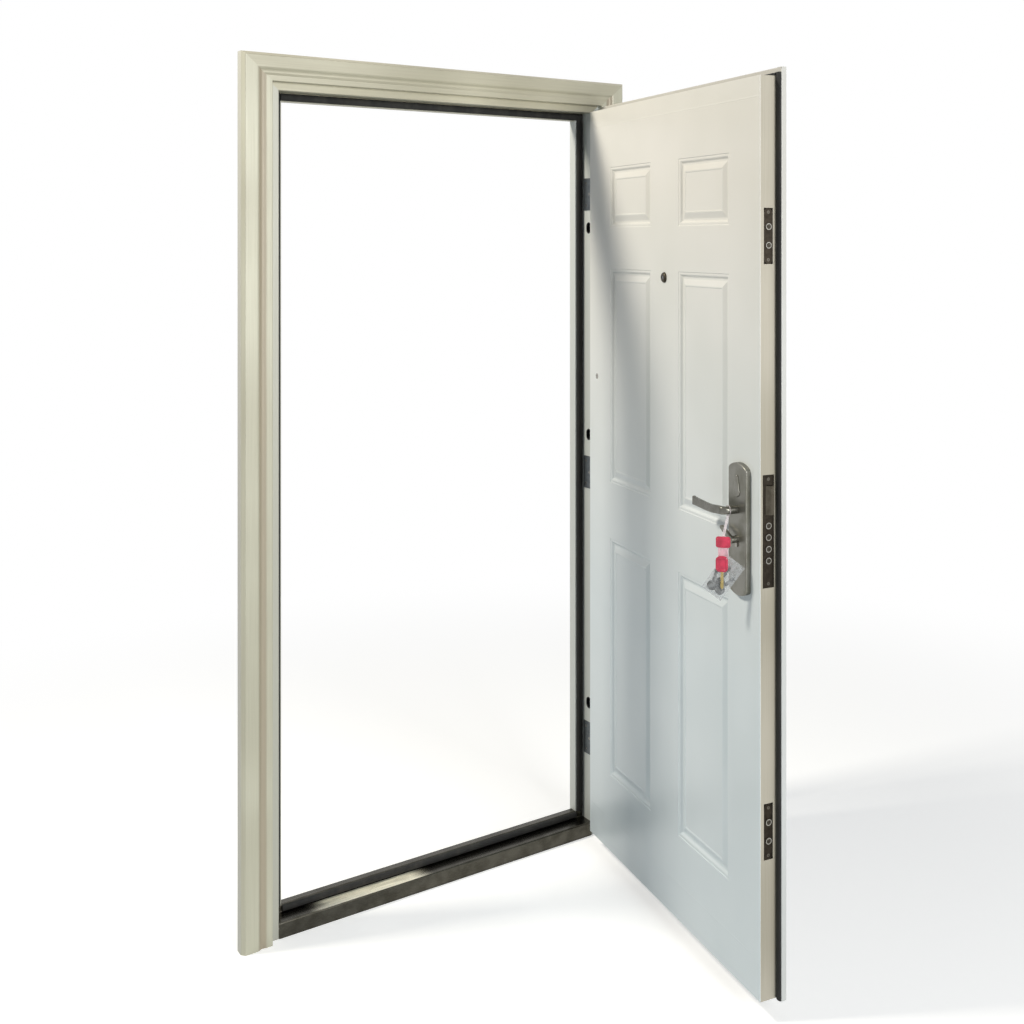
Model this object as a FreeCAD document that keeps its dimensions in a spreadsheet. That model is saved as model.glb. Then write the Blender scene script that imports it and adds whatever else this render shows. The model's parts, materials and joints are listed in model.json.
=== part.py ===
import FreeCAD, Part
import math
import os

# Steel exterior door: a pressed six-panel leaf in a mitred sheet-steel frame, standing open.
# Millimetres. X runs along the wall, Y into the building, Z up. The origin is on the underside of
# the sill, midway between the jambs and midway through the frame's depth.
# Every piece of the leaf is drawn with the door shut, then swung open about the hinge pins.

doc = FreeCAD.newDocument("steel_exterior_door")
sheet = doc.addObject("Spreadsheet::Sheet", "sizes")

SIZES = {
    # frame
    "clear_width": 900, "clear_height": 2029.5, "frame_depth": 100, "frame_sheet": 1.5,
    "sheet_bend": 0.6, "trim_width": 97, "trim_return": 32, "bevel_width": 8, "bevel_depth": 10,
    "ridge_width": 32, "cove_width": 20, "band_setback": 4, "cove_depth": 6, "cove_bend": 9,
    "rebate_width": 22, "rebate_floor": 24, "stop_face": 71.5, "stop_width": 23.5,
    "wall_body": 30, "back_return": 14,
    # the head's section is the jambs' section, this much narrower
    "head_share": 0.8814, "mitre_overrun": 10,
    # sill and threshold
    "sill_height": 36.5, "riser_height": 55.5, "sill_top": 20, "cover_sheet": 1.5,
    "sill_flange": 38, "sill_fit": 0.4,
    # seals
    "stop_seal_width": 18, "stop_seal_depth": 9, "lip_seal_width": 16, "lip_seal_depth": 5,
    "top_seal_width": 7, "seal_edge": 1.5, "riser_seal_height": 15,
    # leaf
    "leaf_gap": 6, "top_gap": 5, "bottom_gap": 5, "leaf_setback": 2, "leaf_thickness": 55,
    "lip_thickness": 12, "lip_width": 18, "skin": 1.2, "flange_width": 30, "core_clearance": 0.3,
    # pressed panels
    "panel_width": 240, "panel_stile": 131, "top_panel_top": 1866, "top_panel_height": 161,
    "middle_panel_top": 1596, "middle_panel_height": 569, "lower_panel_top": 877,
    "lower_panel_height": 632,
    # the moulding's turning points, from the panel's edge inwards, and its depths
    "press_step": 1.5, "press_shelf": 6, "press_cove": 13, "press_floor": 17, "press_ramp": 31,
    "press_bead": 33, "press_field": 35.5, "press_depth": 6.5, "bead_depth": 1, "field_depth": 2.2,
    # hinges
    "pin_offset_side": 28, "pin_offset_front": 6, "hinge_height": 90, "barrel_radius": 8,
    "hinge_pin_radius": 4, "pin_clearance": 0.08, "pin_cap": 5, "pin_room": 1, "hinge_plate": 2,
    "hinge_split": 0.5, "hinge_plate_end": 60, "link_gap": 1.5,
    "upper_hinge_z": 1801, "middle_hinge_z": 1018, "lower_hinge_z": 269,
    # dog bolts on the hinge edge and their sockets
    "dog_radius": 6, "dog_length": 10, "dog_depth": 19, "dog_collar": 3, "collar_thickness": 2,
    "socket_height": 32, "socket_width": 24, "socket_wall": 2, "socket_length": 14,
    "upper_dog_z": 1706, "middle_dog_z": 1124, "lower_dog_z": 368,
    # locks
    "backset": 76, "lock_depth": 21, "faceplate_thickness": 3, "faceplate_width": 28,
    "faceplate_height": 242, "faceplate_z": 1047, "case_thickness": 18, "case_length": 108,
    "case_height": 216, "bolt_radius": 7, "bolt_length": 54, "bolt_pitch": 25,
    "bolt_clearance": 0.3, "bolt_proud": 2, "low_bolt_z": 984,
    "latch_height": 62, "latch_width": 16, "latch_length": 42, "latch_proud": 9, "latch_z": 1114,
    "latch_clearance": 0.4,
    "aux_faceplate_width": 22, "aux_faceplate_height": 120, "aux_case_length": 66,
    "aux_case_height": 92, "aux_pitch": 40, "upper_aux_z": 1680, "lower_aux_z": 404,
    "strike_height": 250, "aux_strike_height": 130, "strike_width": 20, "strike_hole": 8.5,
    # door furniture
    "plate_width": 76, "plate_height": 290, "plate_z": 1040, "plate_thickness": 12,
    "plate_arch": 12, "plate_corner": 8, "plate_rim": 3,
    "drop_top": 1158, "drop_bottom": 1110, "drop_radius": 12, "drop_tip": 4, "drop_rise": 2.5,
    "lever_z": 1083, "neck_radius": 9, "neck_length": 40, "lever_bend": 12,
    "lever_length": 130, "lever_height": 18, "lever_depth": 9, "lever_drop": 3, "tip_height": 20,
    "lever_corner": 2.5,
    "grip_step": 0.5, "grip_root": 6,
    "spindle_size": 8, "spindle_clearance": 4,
    "cylinder_z": 1018, "cylinder_radius": 8.5, "cylinder_proud": 3, "cylinder_tail": 16,
    "key_slot_width": 2, "key_slot_height": 8, "key_slot_depth": 12,
    "turn_boss_radius": 8, "turn_boss_length": 7, "turn_wing_length": 50, "turn_wing_root": 12,
    "turn_wing_tip": 8, "turn_wing_depth": 7, "turn_tilt": 26,
    "peephole_z": 1580, "peephole_radius": 7, "peephole_flange": 13, "peephole_proud": 5,
    "lens_radius": 5, "lens_recess": 1.5, "hole_clearance": 0.3,
    # key set hanging in front of the inside lock, turned towards the lock edge
    "strap_width": 6, "strap_thickness": 1, "strap_lap": 14, "ring_wall": 1.5,
    "ring_clearance": 1, "ring_out": 34, "tag_width": 32, "tag_height": 24, "tag_thickness": 4,
    "tag_shift": 11, "tag_out": 53, "tag_z": 1018, "pouch_width": 51, "pouch_height": 91,
    "pouch_thickness": 6, "pouch_drop": 76, "pouch_lean": 36, "key_turn": 52,
    # how far the leaf stands open in the stored position, in degrees
    "open_angle": 80.15,
}
for row, (alias, value) in enumerate(SIZES.items(), start=1):
    sheet.set("A%d" % row, str(value))
    sheet.setAlias("A%d" % row, alias)
doc.recompute()


class Values:
    """The sheet's sizes as plain numbers."""

    def __getattr__(self, alias):
        return float(sheet.get(alias))


v = Values()

# Lines that the pieces share, worked out once from the sizes.
FRONT = -v.frame_depth / 2
BACK = v.frame_depth / 2
REVEAL = v.clear_width / 2
SOFFIT = v.clear_height
LEAF_FRONT = FRONT + v.leaf_setback
LIP_BACK = LEAF_FRONT + v.lip_thickness
LEAF_BACK = LEAF_FRONT + v.leaf_thickness
LEAF_EDGE = REVEAL - v.leaf_gap
LIP_EDGE = LEAF_EDGE + v.lip_width
LEAF_TOP = SOFFIT - v.top_gap
LIP_TOP = LEAF_TOP + v.lip_width
TREAD = v.sill_height + v.cover_sheet
LEAF_BOTTOM = TREAD + v.bottom_gap
PIN_X = REVEAL + v.pin_offset_side
PIN_Y = FRONT - v.pin_offset_front
LOCK_X = -LEAF_EDGE
LOCK_Y = LEAF_BACK - v.lock_depth
SPINDLE_X = LOCK_X + v.backset
DOG_Y = LEAF_BACK - v.dog_depth

SWING = FreeCAD.Placement(
    FreeCAD.Vector(0, 0, 0),
    FreeCAD.Rotation(FreeCAD.Vector(0, 0, 1), v.open_angle),
    FreeCAD.Vector(PIN_X, PIN_Y, 0),
)
finished = {}


def vec(x, y, z=0.0):
    return FreeCAD.Vector(x, y, z)


def keep(node, item, on_leaf=False):
    """Name a finished piece, and swing it open if it belongs to the leaf."""
    item.Label = node
    if on_leaf:
        item.Placement = SWING.multiply(item.Placement)
    finished[node] = item


def plain_box(name, low, high):
    """A block between two corners that are already worked out in millimetres."""
    item = doc.addObject("Part::Box", name)
    item.Length, item.Width, item.Height = [b - a for a, b in zip(low, high)]
    item.Placement.Base = vec(*low)
    return item


def cylinder(name, radius, length, start, direction):
    """A round bar whose radius is an expression, from a start point along a direction."""
    item = doc.addObject("Part::Cylinder", name)
    item.setExpression("Radius", radius)
    item.Height = length
    item.Placement = FreeCAD.Placement(start, FreeCAD.Rotation(vec(0, 0, 1), direction))
    return item


def fuse(name, *items):
    item = doc.addObject("Part::MultiFuse", name)
    item.Shapes = list(items)
    item.Refine = True
    return item


def cut(name, base, *tools):
    item = doc.addObject("Part::Cut", name)
    item.Base = base
    item.Tool = tools[0] if len(tools) == 1 else fuse(name + "_tools", *tools)
    return item


def group(name, items):
    """Like pieces on one body, kept as separate solids in one node."""
    item = doc.addObject("Part::Compound", name)
    item.Links = items
    return item


def origin_plane(body, role):
    return [p for p in body.Origin.OriginFeatures if p.Role == role][0]


def closed_sketch(body, name, role, path, offset=0.0):
    """A closed outline on one of the body's planes. A path entry is a point, or a pair of points:
    the middle and the end of an arc."""
    sketch = body.newObject("Sketcher::SketchObject", name)
    sketch.AttachmentSupport = (origin_plane(body, role), [""])
    sketch.MapMode = "FlatFace"
    sketch.AttachmentOffset = FreeCAD.Placement(vec(0, 0, offset), FreeCAD.Rotation())
    here = path[0]
    for entry in path[1:] + path[:1]:
        if isinstance(entry[0], tuple):
            middle, end = entry
            arc = Part.Arc(vec(*here), vec(*middle), vec(*end))
            sketch.addGeometry(arc, False)
        else:
            end = entry
            if end != here:
                sketch.addGeometry(Part.LineSegment(vec(*here), vec(*end)), False)
        here = end
    return sketch


def pad(body, sketch, length, reverse=False, both=False):
    feature = body.newObject("PartDesign::Pad", sketch.Name + "_pad")
    feature.Profile = sketch
    feature.Reversed = reverse
    feature.Midplane = both
    if isinstance(length, str):
        feature.setExpression("Length", length)
    else:
        feature.Length = length
    return feature


def corner_arc(corner, run_in, run_out, radius):
    """The start, middle and end of the arc that rounds a corner between two directions."""
    along = run_in[0] * run_out[0] + run_in[1] * run_out[1]
    turn = run_in[0] * run_out[1] - run_in[1] * run_out[0]
    reach = radius * abs(turn) / (1 + along)
    inward = (run_out[0] - run_in[0], run_out[1] - run_in[1])
    size = math.hypot(*inward)
    rise = radius / math.sqrt((1 + along) / 2) - radius
    return (
        (corner[0] - run_in[0] * reach, corner[1] - run_in[1] * reach),
        (corner[0] + inward[0] / size * rise, corner[1] + inward[1] / size * rise),
        (corner[0] + run_out[0] * reach, corner[1] + run_out[1] * reach),
    )


def folded_outline(points, thickness, bend=0.0):
    """The closed path around a folded sheet whose visible side follows the points. The sheet's
    thickness lies to the right of the direction of travel. Bend is the radius inside each fold,
    and a point may carry its own as a third number."""
    runs = []
    for a, b in zip(points, points[1:]):
        size = math.hypot(b[0] - a[0], b[1] - a[1])
        runs.append(((b[0] - a[0]) / size, (b[1] - a[1]) / size))
    shift = [(run[1] * thickness, -run[0] * thickness) for run in runs]
    start = points[0][:2]
    near = [start]
    far = [(start[0] + shift[0][0], start[1] + shift[0][1])]
    for point, before, after, out_a, out_b in zip(points[1:-1], runs, runs[1:], shift, shift[1:]):
        along = before[0] * after[0] + before[1] * after[1]
        behind = (point[0] + (out_a[0] + out_b[0]) / (1 + along),
                  point[1] + (out_a[1] + out_b[1]) / (1 + along))
        inside = point[2] if len(point) > 2 else bend
        if inside == 0:
            near.append(point[:2])
            far.append(behind)
            continue
        turn = before[0] * after[1] - before[1] * after[0]
        radii = (inside, inside + abs(thickness))
        if turn * thickness < 0:
            radii = radii[::-1]
        first, middle, last = corner_arc(point[:2], before, after, radii[0])
        near += [first, (middle, last)]
        first, middle, last = corner_arc(behind, before, after, radii[1])
        far += [first, (middle, last)]
    end = points[-1][:2]
    near.append(end)
    far.append((end[0] + shift[-1][0], end[1] + shift[-1][1]))
    return near + reversed_path(far)


def reversed_path(path):
    """The same points and arcs, travelled from the end to the start."""
    back = []
    for index in range(len(path) - 1, -1, -1):
        entry = path[index]
        if isinstance(entry[0], tuple):
            middle, end = entry
            if not back or back[-1] != end:
                back.append(end)
            back.append((middle, path[index - 1]))
        elif not back or back[-1] != entry and last_point(back) != entry:
            back.append(entry)
    return back


def last_point(path):
    return path[-1][1] if isinstance(path[-1][0], tuple) else path[-1]


def mapped(path, rule):
    """The path with every point moved by a rule that takes its two coordinates."""
    moved = []
    for entry in path:
        if isinstance(entry[0], tuple):
            moved.append(tuple(rule(*point) for point in entry))
        else:
            moved.append(rule(*entry))
    return moved


# Frame


def frame_section():
    """The frame's section as (distance outwards from the reveal, depth): trim, rebate and stop."""
    trim = v.trim_width
    ridge = trim - v.bevel_width
    cove = ridge - v.ridge_width
    band = cove - v.cove_width
    cove_mid = (cove + band) / 2
    return folded_outline([
        (trim, FRONT + v.trim_return),
        (trim, FRONT + v.bevel_depth),
        (ridge, FRONT),
        (cove, FRONT, v.cove_bend),
        (cove_mid + v.cove_width / 6, FRONT + v.cove_depth, v.cove_bend),
        (cove_mid - v.cove_width / 6, FRONT + v.cove_depth),
        (band, FRONT + v.band_setback),
        (v.rebate_width, FRONT + v.band_setback),
        (v.rebate_width, FRONT + v.rebate_floor),
        (0, FRONT + v.rebate_floor),
        (0, FRONT + v.stop_face),
        (-v.stop_width, FRONT + v.stop_face),
        (-v.stop_width, BACK),
        (v.wall_body, BACK),
        (v.wall_body, BACK - v.back_return),
    ], v.frame_sheet, v.sheet_bend)


def mitre_block(name, points):
    """A block with a triangular face, for cutting a frame member along the mitre."""
    body = doc.addObject("PartDesign::Body", name)
    sketch = closed_sketch(body, name + "_face", "XZ_Plane", points)
    pad(body, sketch, 3 * v.frame_depth, both=True)
    return body


def mitre_corner(side):
    """A point on the mitre line inside the stop's edge, and one far out along it."""
    inside = v.stop_width + v.mitre_overrun
    low = (side * (REVEAL - inside), SOFFIT - v.head_share * inside)
    reach = 2 * (v.trim_width + inside)
    return low, (low[0] + side * reach, low[1] + v.head_share * reach)


def jamb(node, side, cutters):
    body = doc.addObject("PartDesign::Body", node + "_section")
    path = mapped(frame_section(), lambda s, y: (side * (REVEAL + s), y))
    sketch = closed_sketch(body, node + "_profile", "XY_Plane", path)
    pad(body, sketch, "sizes.clear_height + sizes.trim_width")
    low, far = mitre_corner(side)
    mitre = mitre_block(node + "_mitre", [low, far, (low[0], far[1])])
    keep(node, cut(node, body, mitre, *cutters))


def head():
    body = doc.addObject("PartDesign::Body", "head_section")
    path = mapped(frame_section(), lambda s, y: (y, SOFFIT + v.head_share * s))
    sketch = closed_sketch(body, "head_profile", "YZ_Plane", path)
    pad(body, sketch, "sizes.clear_width + 2 * sizes.trim_width", both=True)
    mitres = []
    for name, side in (("left", -1), ("right", 1)):
        low, far = mitre_corner(side)
        mitres.append(mitre_block("head_mitre_" + name, [low, far, (far[0], low[1])]))
    keep("head", cut("head", body, *mitres))


def strike_openings():
    """The three cut-outs in the lock jamb that the strike plates fill."""
    openings = []
    for name, height, z in strikes():
        openings.append(plain_box(
            name + "_opening",
            (-REVEAL - 3 * v.frame_sheet, LOCK_Y - v.strike_width / 2, z - height / 2),
            (-REVEAL + v.frame_sheet, LOCK_Y + v.strike_width / 2, z + height / 2),
        ))
    return openings


def strikes():
    return [
        ("main_strike", v.strike_height, v.faceplate_z),
        ("upper_strike", v.aux_strike_height, v.upper_aux_z),
        ("lower_strike", v.aux_strike_height, v.lower_aux_z),
    ]


def bolt_heights(lock):
    if lock == "main":
        return [v.low_bolt_z + v.bolt_pitch * i for i in range(4)]
    middle = v.upper_aux_z if lock == "upper" else v.lower_aux_z
    return [middle - v.aux_pitch / 2, middle + v.aux_pitch / 2]


def strike_plates():
    for name, height, z in strikes():
        plate = plain_box(
            name + "_plate",
            (-REVEAL - v.frame_sheet, LOCK_Y - v.strike_width / 2, z - height / 2),
            (-REVEAL, LOCK_Y + v.strike_width / 2, z + height / 2),
        )
        holes = []
        for index, hole_z in enumerate(bolt_heights(name.split("_")[0])):
            holes.append(cylinder("%s_hole_%d" % (name, index + 1), "sizes.strike_hole",
                                  4 * v.frame_sheet, vec(-REVEAL - 3 * v.frame_sheet, LOCK_Y, hole_z),
                                  vec(1, 0, 0)))
        if name == "main_strike":
            room = v.strike_hole - v.bolt_radius
            holes.append(plain_box(
                "latch_slot",
                (-REVEAL - 2 * v.frame_sheet, LOCK_Y - v.latch_width / 2 - room,
                 v.latch_z - v.latch_height / 2 - room),
                (-REVEAL + v.frame_sheet, LOCK_Y + v.latch_width / 2 + room,
                 v.latch_z + v.latch_height / 2 + room),
            ))
        keep(name, cut(name, plate, *holes))


def dog_heights():
    return [("upper", v.upper_dog_z), ("middle", v.middle_dog_z), ("lower", v.lower_dog_z)]


def socket_block(name, z, margin, start, end):
    """A round-ended block across the hinge jamb's reveal, for a dog bolt's socket or its hole."""
    body = doc.addObject("PartDesign::Body", name)
    half = v.socket_width / 2 - margin
    straight = v.socket_height / 2 - v.socket_width / 2
    middle = DOG_Y
    sketch = closed_sketch(body, name + "_outline", "YZ_Plane", [
        (middle + half, z - straight),
        (middle + half, z + straight),
        ((middle, z + straight + half), (middle - half, z + straight)),
        (middle - half, z - straight),
        ((middle, z - straight - half), (middle + half, z - straight)),
    ], offset=start)
    pad(body, sketch, end - start)
    return body


def dog_sockets():
    """Cups behind the hinge jamb's reveal that receive the dog bolts. Returns their holes."""
    holes = []
    cups = []
    for name, z in dog_heights():
        holes.append(socket_block(name + "_socket_hole", z, 0, REVEAL - v.frame_sheet,
                                  REVEAL + 2 * v.frame_sheet))
        shell = socket_block(name + "_socket_shell", z, 0, REVEAL, REVEAL + v.socket_length)
        hollow = socket_block(name + "_socket_hollow", z, v.socket_wall, REVEAL - v.socket_wall,
                              REVEAL + v.socket_length - v.socket_wall)
        cups.append(cut(name + "_socket", shell, hollow))
    keep("dog_sockets", group("dog_sockets", cups))
    return holes


def stop_notches(name, rear):
    """Blocks that clear the jambs' stops out of a piece that runs the full clear width."""
    blocks = []
    low = REVEAL - v.stop_width - v.sill_fit
    for side in (-1, 1):
        ends = sorted((side * low, side * (REVEAL + v.sill_fit)))
        blocks.append(plain_box(
            "%s_%s_notch" % (name, "left" if side < 0 else "right"),
            (ends[0], FRONT + v.stop_face - v.sill_fit, -v.sill_fit),
            (ends[1], rear + v.sill_fit, v.riser_height + 2 * v.cover_sheet),
        ))
    return blocks


def sill():
    """The painted sill: a folded channel, its base flange turned in under the tread."""
    floor = FRONT + v.rebate_floor
    riser = FRONT + v.stop_face
    rear = riser + v.sill_top
    body = doc.addObject("PartDesign::Body", "sill_channel")
    path = folded_outline([
        (floor + v.sill_flange, 0), (floor, 0), (floor, v.sill_height),
        (riser, v.sill_height), (riser, v.riser_height), (rear, v.riser_height), (rear, 0),
    ], v.frame_sheet, v.sheet_bend)
    sketch = closed_sketch(body, "sill_profile", "YZ_Plane", path)
    pad(body, sketch, "sizes.clear_width - 2 * sizes.sill_fit", both=True)
    keep("sill", cut("sill", body, *stop_notches("sill", rear)))


def threshold_cover():
    """The bright cover wrapped over the sill's nose, tread and riser."""
    floor = FRONT + v.rebate_floor
    riser = FRONT + v.stop_face
    rear = riser + v.sill_top
    body = doc.addObject("PartDesign::Body", "cover_sheet")
    path = folded_outline([
        (floor, 0), (floor, v.sill_height), (riser, v.sill_height),
        (riser, v.riser_height), (rear, v.riser_height),
    ], -v.cover_sheet, v.sheet_bend + v.frame_sheet)
    sketch = closed_sketch(body, "cover_profile", "YZ_Plane", path)
    pad(body, sketch, "sizes.clear_width - 2 * sizes.sill_fit", both=True)
    keep("threshold_cover", cut("threshold_cover", body, *stop_notches("cover", rear)))


def seal_profile(start, width, base, depth):
    """A soft seal's section: flat on its seat, its free side rounded. Returns a closed path."""
    end = start + width
    shoulder = base - depth * 0.45
    return [
        (start, base), (start, shoulder),
        ((start + width / 2, base - depth), (end, shoulder)), (end, base),
    ]


def stop_seals():
    base = FRONT + v.stop_face
    low = v.riser_height + v.cover_sheet
    edge = REVEAL - v.seal_edge
    inner = edge - v.stop_seal_width
    top = SOFFIT - v.seal_edge
    for node, start in (("left_stop_seal", -edge), ("right_stop_seal", inner)):
        body = doc.addObject("PartDesign::Body", node)
        path = seal_profile(start, v.stop_seal_width, base, v.stop_seal_depth)
        sketch = closed_sketch(body, node + "_profile", "XY_Plane", path, offset=low)
        pad(body, sketch, top - low)
        keep(node, body)
    body = doc.addObject("PartDesign::Body", "head_stop_seal")
    path = seal_profile(top - v.stop_seal_width, v.stop_seal_width, base, v.stop_seal_depth)
    sketch = closed_sketch(body, "head_seal_profile", "YZ_Plane", mapped(path, swap))
    pad(body, sketch, 2 * inner, both=True)
    keep("head_stop_seal", body)
    body = doc.addObject("PartDesign::Body", "threshold_seal")
    riser = base - v.cover_sheet
    above_fold = TREAD + v.sheet_bend + v.frame_sheet + v.sill_fit
    path = seal_profile(above_fold, v.riser_seal_height, riser,
                        v.stop_seal_depth - v.cover_sheet)
    sketch = closed_sketch(body, "threshold_seal_profile", "YZ_Plane", mapped(path, swap))
    pad(body, sketch, 2 * (REVEAL - v.stop_width - v.sill_fit), both=True)
    keep("threshold_seal", body)


def swap(a, b):
    return (b, a)


def hinges():
    """Three exposed lift-off hinges. The lower barrel and its pin belong to the frame."""
    rows = (("upper", v.upper_hinge_z), ("middle", v.middle_hinge_z), ("lower", v.lower_hinge_z))
    floor = FRONT + v.rebate_floor
    link_out = v.rebate_width - v.link_gap
    link_in = link_out - v.hinge_plate
    half = v.hinge_height / 2
    for name, z in rows:
        split = z - v.hinge_split
        low = z - half
        plate = plain_box(
            name + "_reveal_plate",
            (REVEAL - v.hinge_plate, floor - v.hinge_plate, low),
            (REVEAL, FRONT + v.hinge_plate_end, z + half),
        )
        link = doc.addObject("PartDesign::Body", name + "_frame_link")
        bend = v.hinge_plate
        sketch = closed_sketch(link, name + "_link_profile", "XY_Plane", [
            (REVEAL - bend / 2, floor), (REVEAL - bend / 2, floor - bend),
            (REVEAL + link_in, floor - bend), (REVEAL + link_in, PIN_Y - bend / 2),
            (PIN_X - v.barrel_radius / 2, PIN_Y - bend / 2),
            (PIN_X - v.barrel_radius / 2, PIN_Y + bend / 2),
            (REVEAL + link_out, PIN_Y + bend / 2), (REVEAL + link_out, floor),
        ], offset=low)
        pad(link, sketch, split - low)
        barrel = cylinder(name + "_lower_barrel", "sizes.barrel_radius", split - low,
                          vec(PIN_X, PIN_Y, low), vec(0, 0, 1))
        pin_top = z + half - v.pin_cap - v.pin_room
        pin = cylinder(name + "_hinge_pin", "sizes.hinge_pin_radius", pin_top - z,
                       vec(PIN_X, PIN_Y, z), vec(0, 0, 1))
        root = cylinder(name + "_pin_root", "sizes.hinge_pin_radius", v.pin_cap + 2 * v.hinge_split,
                        vec(PIN_X, PIN_Y, z - v.pin_cap - v.hinge_split), vec(0, 0, 1))
        node = name + "_hinge_frame_half"
        keep(node, fuse(node, plate, link, barrel, root, pin))

        start = z + v.hinge_split
        wing = doc.addObject("PartDesign::Body", name + "_leaf_wing")
        reach = LIP_EDGE + v.hinge_plate
        sketch = closed_sketch(wing, name + "_wing_profile", "XY_Plane", [
            (LIP_EDGE, LIP_BACK), (LIP_EDGE, PIN_Y - bend / 2),
            (PIN_X - v.barrel_radius / 2, PIN_Y - bend / 2),
            (PIN_X - v.barrel_radius / 2, PIN_Y + bend / 2),
            (reach, PIN_Y + bend / 2), (reach, LIP_BACK),
        ], offset=start)
        pad(wing, sketch, z + half - start)
        upper = cylinder(name + "_upper_barrel", "sizes.barrel_radius", z + half - start,
                         vec(PIN_X, PIN_Y, start), vec(0, 0, 1))
        bore = cylinder(name + "_barrel_bore", "sizes.hinge_pin_radius + sizes.pin_clearance",
                        half - v.pin_cap, vec(PIN_X, PIN_Y, z), vec(0, 0, 1))
        node = name + "_hinge_leaf_half"
        keep(node, cut(node, fuse(node + "_blank", wing, upper), bore), on_leaf=True)


# Leaf


def leaf_holes(name):
    """What passes through the leaf's skins: the spindle, the lock cylinder and the peephole."""
    across = v.leaf_thickness + 4 * v.skin
    start = LEAF_FRONT - 2 * v.skin
    into = vec(0, 1, 0)
    spindle = cylinder(name + "_spindle_hole", "sizes.spindle_size / 2 + sizes.spindle_clearance",
                       across, vec(SPINDLE_X, start, v.lever_z), into)
    lock = cylinder(name + "_cylinder_hole", "sizes.cylinder_radius + sizes.hole_clearance",
                    across, vec(SPINDLE_X, start, v.cylinder_z), into)
    reach = v.cylinder_radius / 2 + v.hole_clearance
    tail = plain_box(name + "_cylinder_tail_hole",
                     (SPINDLE_X - reach, start, v.cylinder_z - v.cylinder_tail - v.hole_clearance),
                     (SPINDLE_X + reach, start + across, v.cylinder_z))
    peep = cylinder(name + "_peephole_hole", "sizes.peephole_radius + sizes.hole_clearance",
                    across, vec(0, start, v.peephole_z), into)
    return [spindle, lock, tail, peep]


def panels():
    """Each pressed panel's left, right, bottom and top, on the leaf as seen from outside."""
    rows = (
        (v.top_panel_top, v.top_panel_height),
        (v.middle_panel_top, v.middle_panel_height),
        (v.lower_panel_top, v.lower_panel_height),
    )
    found = []
    for side in (-1, 1):
        outer = side * (LEAF_EDGE - v.panel_stile)
        inner = outer - side * v.panel_width
        for top, height in rows:
            found.append((min(outer, inner), max(outer, inner), top - height, top))
    return found


def press_steps():
    """The moulding's section as (distance in from the panel's edge, depth pressed in)."""
    steps = [(0, 0), (v.press_step, v.press_step)]
    run = v.press_cove - v.press_shelf
    fall = v.press_depth - v.press_step
    for index in range(5):
        angle = math.pi * index / 4
        steps.append((v.press_shelf + run * index / 4,
                      v.press_step + fall * (1 - math.cos(angle)) / 2))
    steps.append((v.press_floor, v.press_depth))
    steps.append((v.press_ramp, v.bead_depth))
    steps.append((v.press_bead, v.bead_depth))
    steps.append((v.press_field, v.field_depth))
    return steps


def rectangle(panel, inset, y):
    left, right, bottom, top = panel
    return [
        vec(left + inset, y, bottom + inset), vec(right - inset, y, bottom + inset),
        vec(right - inset, y, top - inset), vec(left + inset, y, top - inset),
    ]


def pressed_surface(width, bottom, top, y, inward):
    """The faces of one side of a pressed skin: the flat with six windows, the mouldings and
    the raised fields. Inward is the direction that the moulding sinks in, along Y."""
    border = [vec(-width, y, bottom), vec(width, y, bottom), vec(width, y, top), vec(-width, y, top)]
    outer = Part.Face(Part.makePolygon(border + border[:1]))
    faces = []
    windows = []
    for panel in panels():
        rings = [rectangle(panel, inset, y + inward * depth) for inset, depth in press_steps()]
        windows.append(Part.Face(Part.makePolygon(rings[0] + rings[0][:1])))
        for near, far in zip(rings, rings[1:]):
            for i in range(4):
                k = (i + 1) % 4
                corners = [near[i], near[k], far[k], far[i], near[i]]
                faces.append(Part.Face(Part.makePolygon(corners)))
        field = rings[-1]
        faces.append(Part.Face(Part.makePolygon(field + field[:1])))
    return [outer.cut(windows).Faces[0]] + faces


def pressed_skin(name, width, bottom, top, y, inward):
    """A sheet of even thickness with six pressed panels. Y is the visible side."""
    back = y + inward * v.skin
    front_faces = pressed_surface(width, bottom, top, y, inward)
    back_faces = pressed_surface(width, bottom, top, back, inward)
    front = [vec(-width, y, bottom), vec(width, y, bottom), vec(width, y, top), vec(-width, y, top)]
    rear = [vec(p.x, back, p.z) for p in front]
    sides = []
    for i in range(4):
        k = (i + 1) % 4
        sides.append(Part.Face(Part.makePolygon([front[i], front[k], rear[k], rear[i], front[i]])))
    shell = Part.Shell(front_faces + back_faces + sides)
    solid = Part.Solid(shell)
    if solid.Volume < 0:
        solid.reverse()
    item = doc.addObject("Part::Feature", name)
    item.Shape = solid
    return item


def inner_skin():
    skin = pressed_skin("inner_skin_pressing", LEAF_EDGE, LEAF_BOTTOM, LEAF_TOP, LEAF_BACK, -1)
    keep("inner_skin", cut("inner_skin", skin, *leaf_holes("inner_skin")), on_leaf=True)


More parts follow.
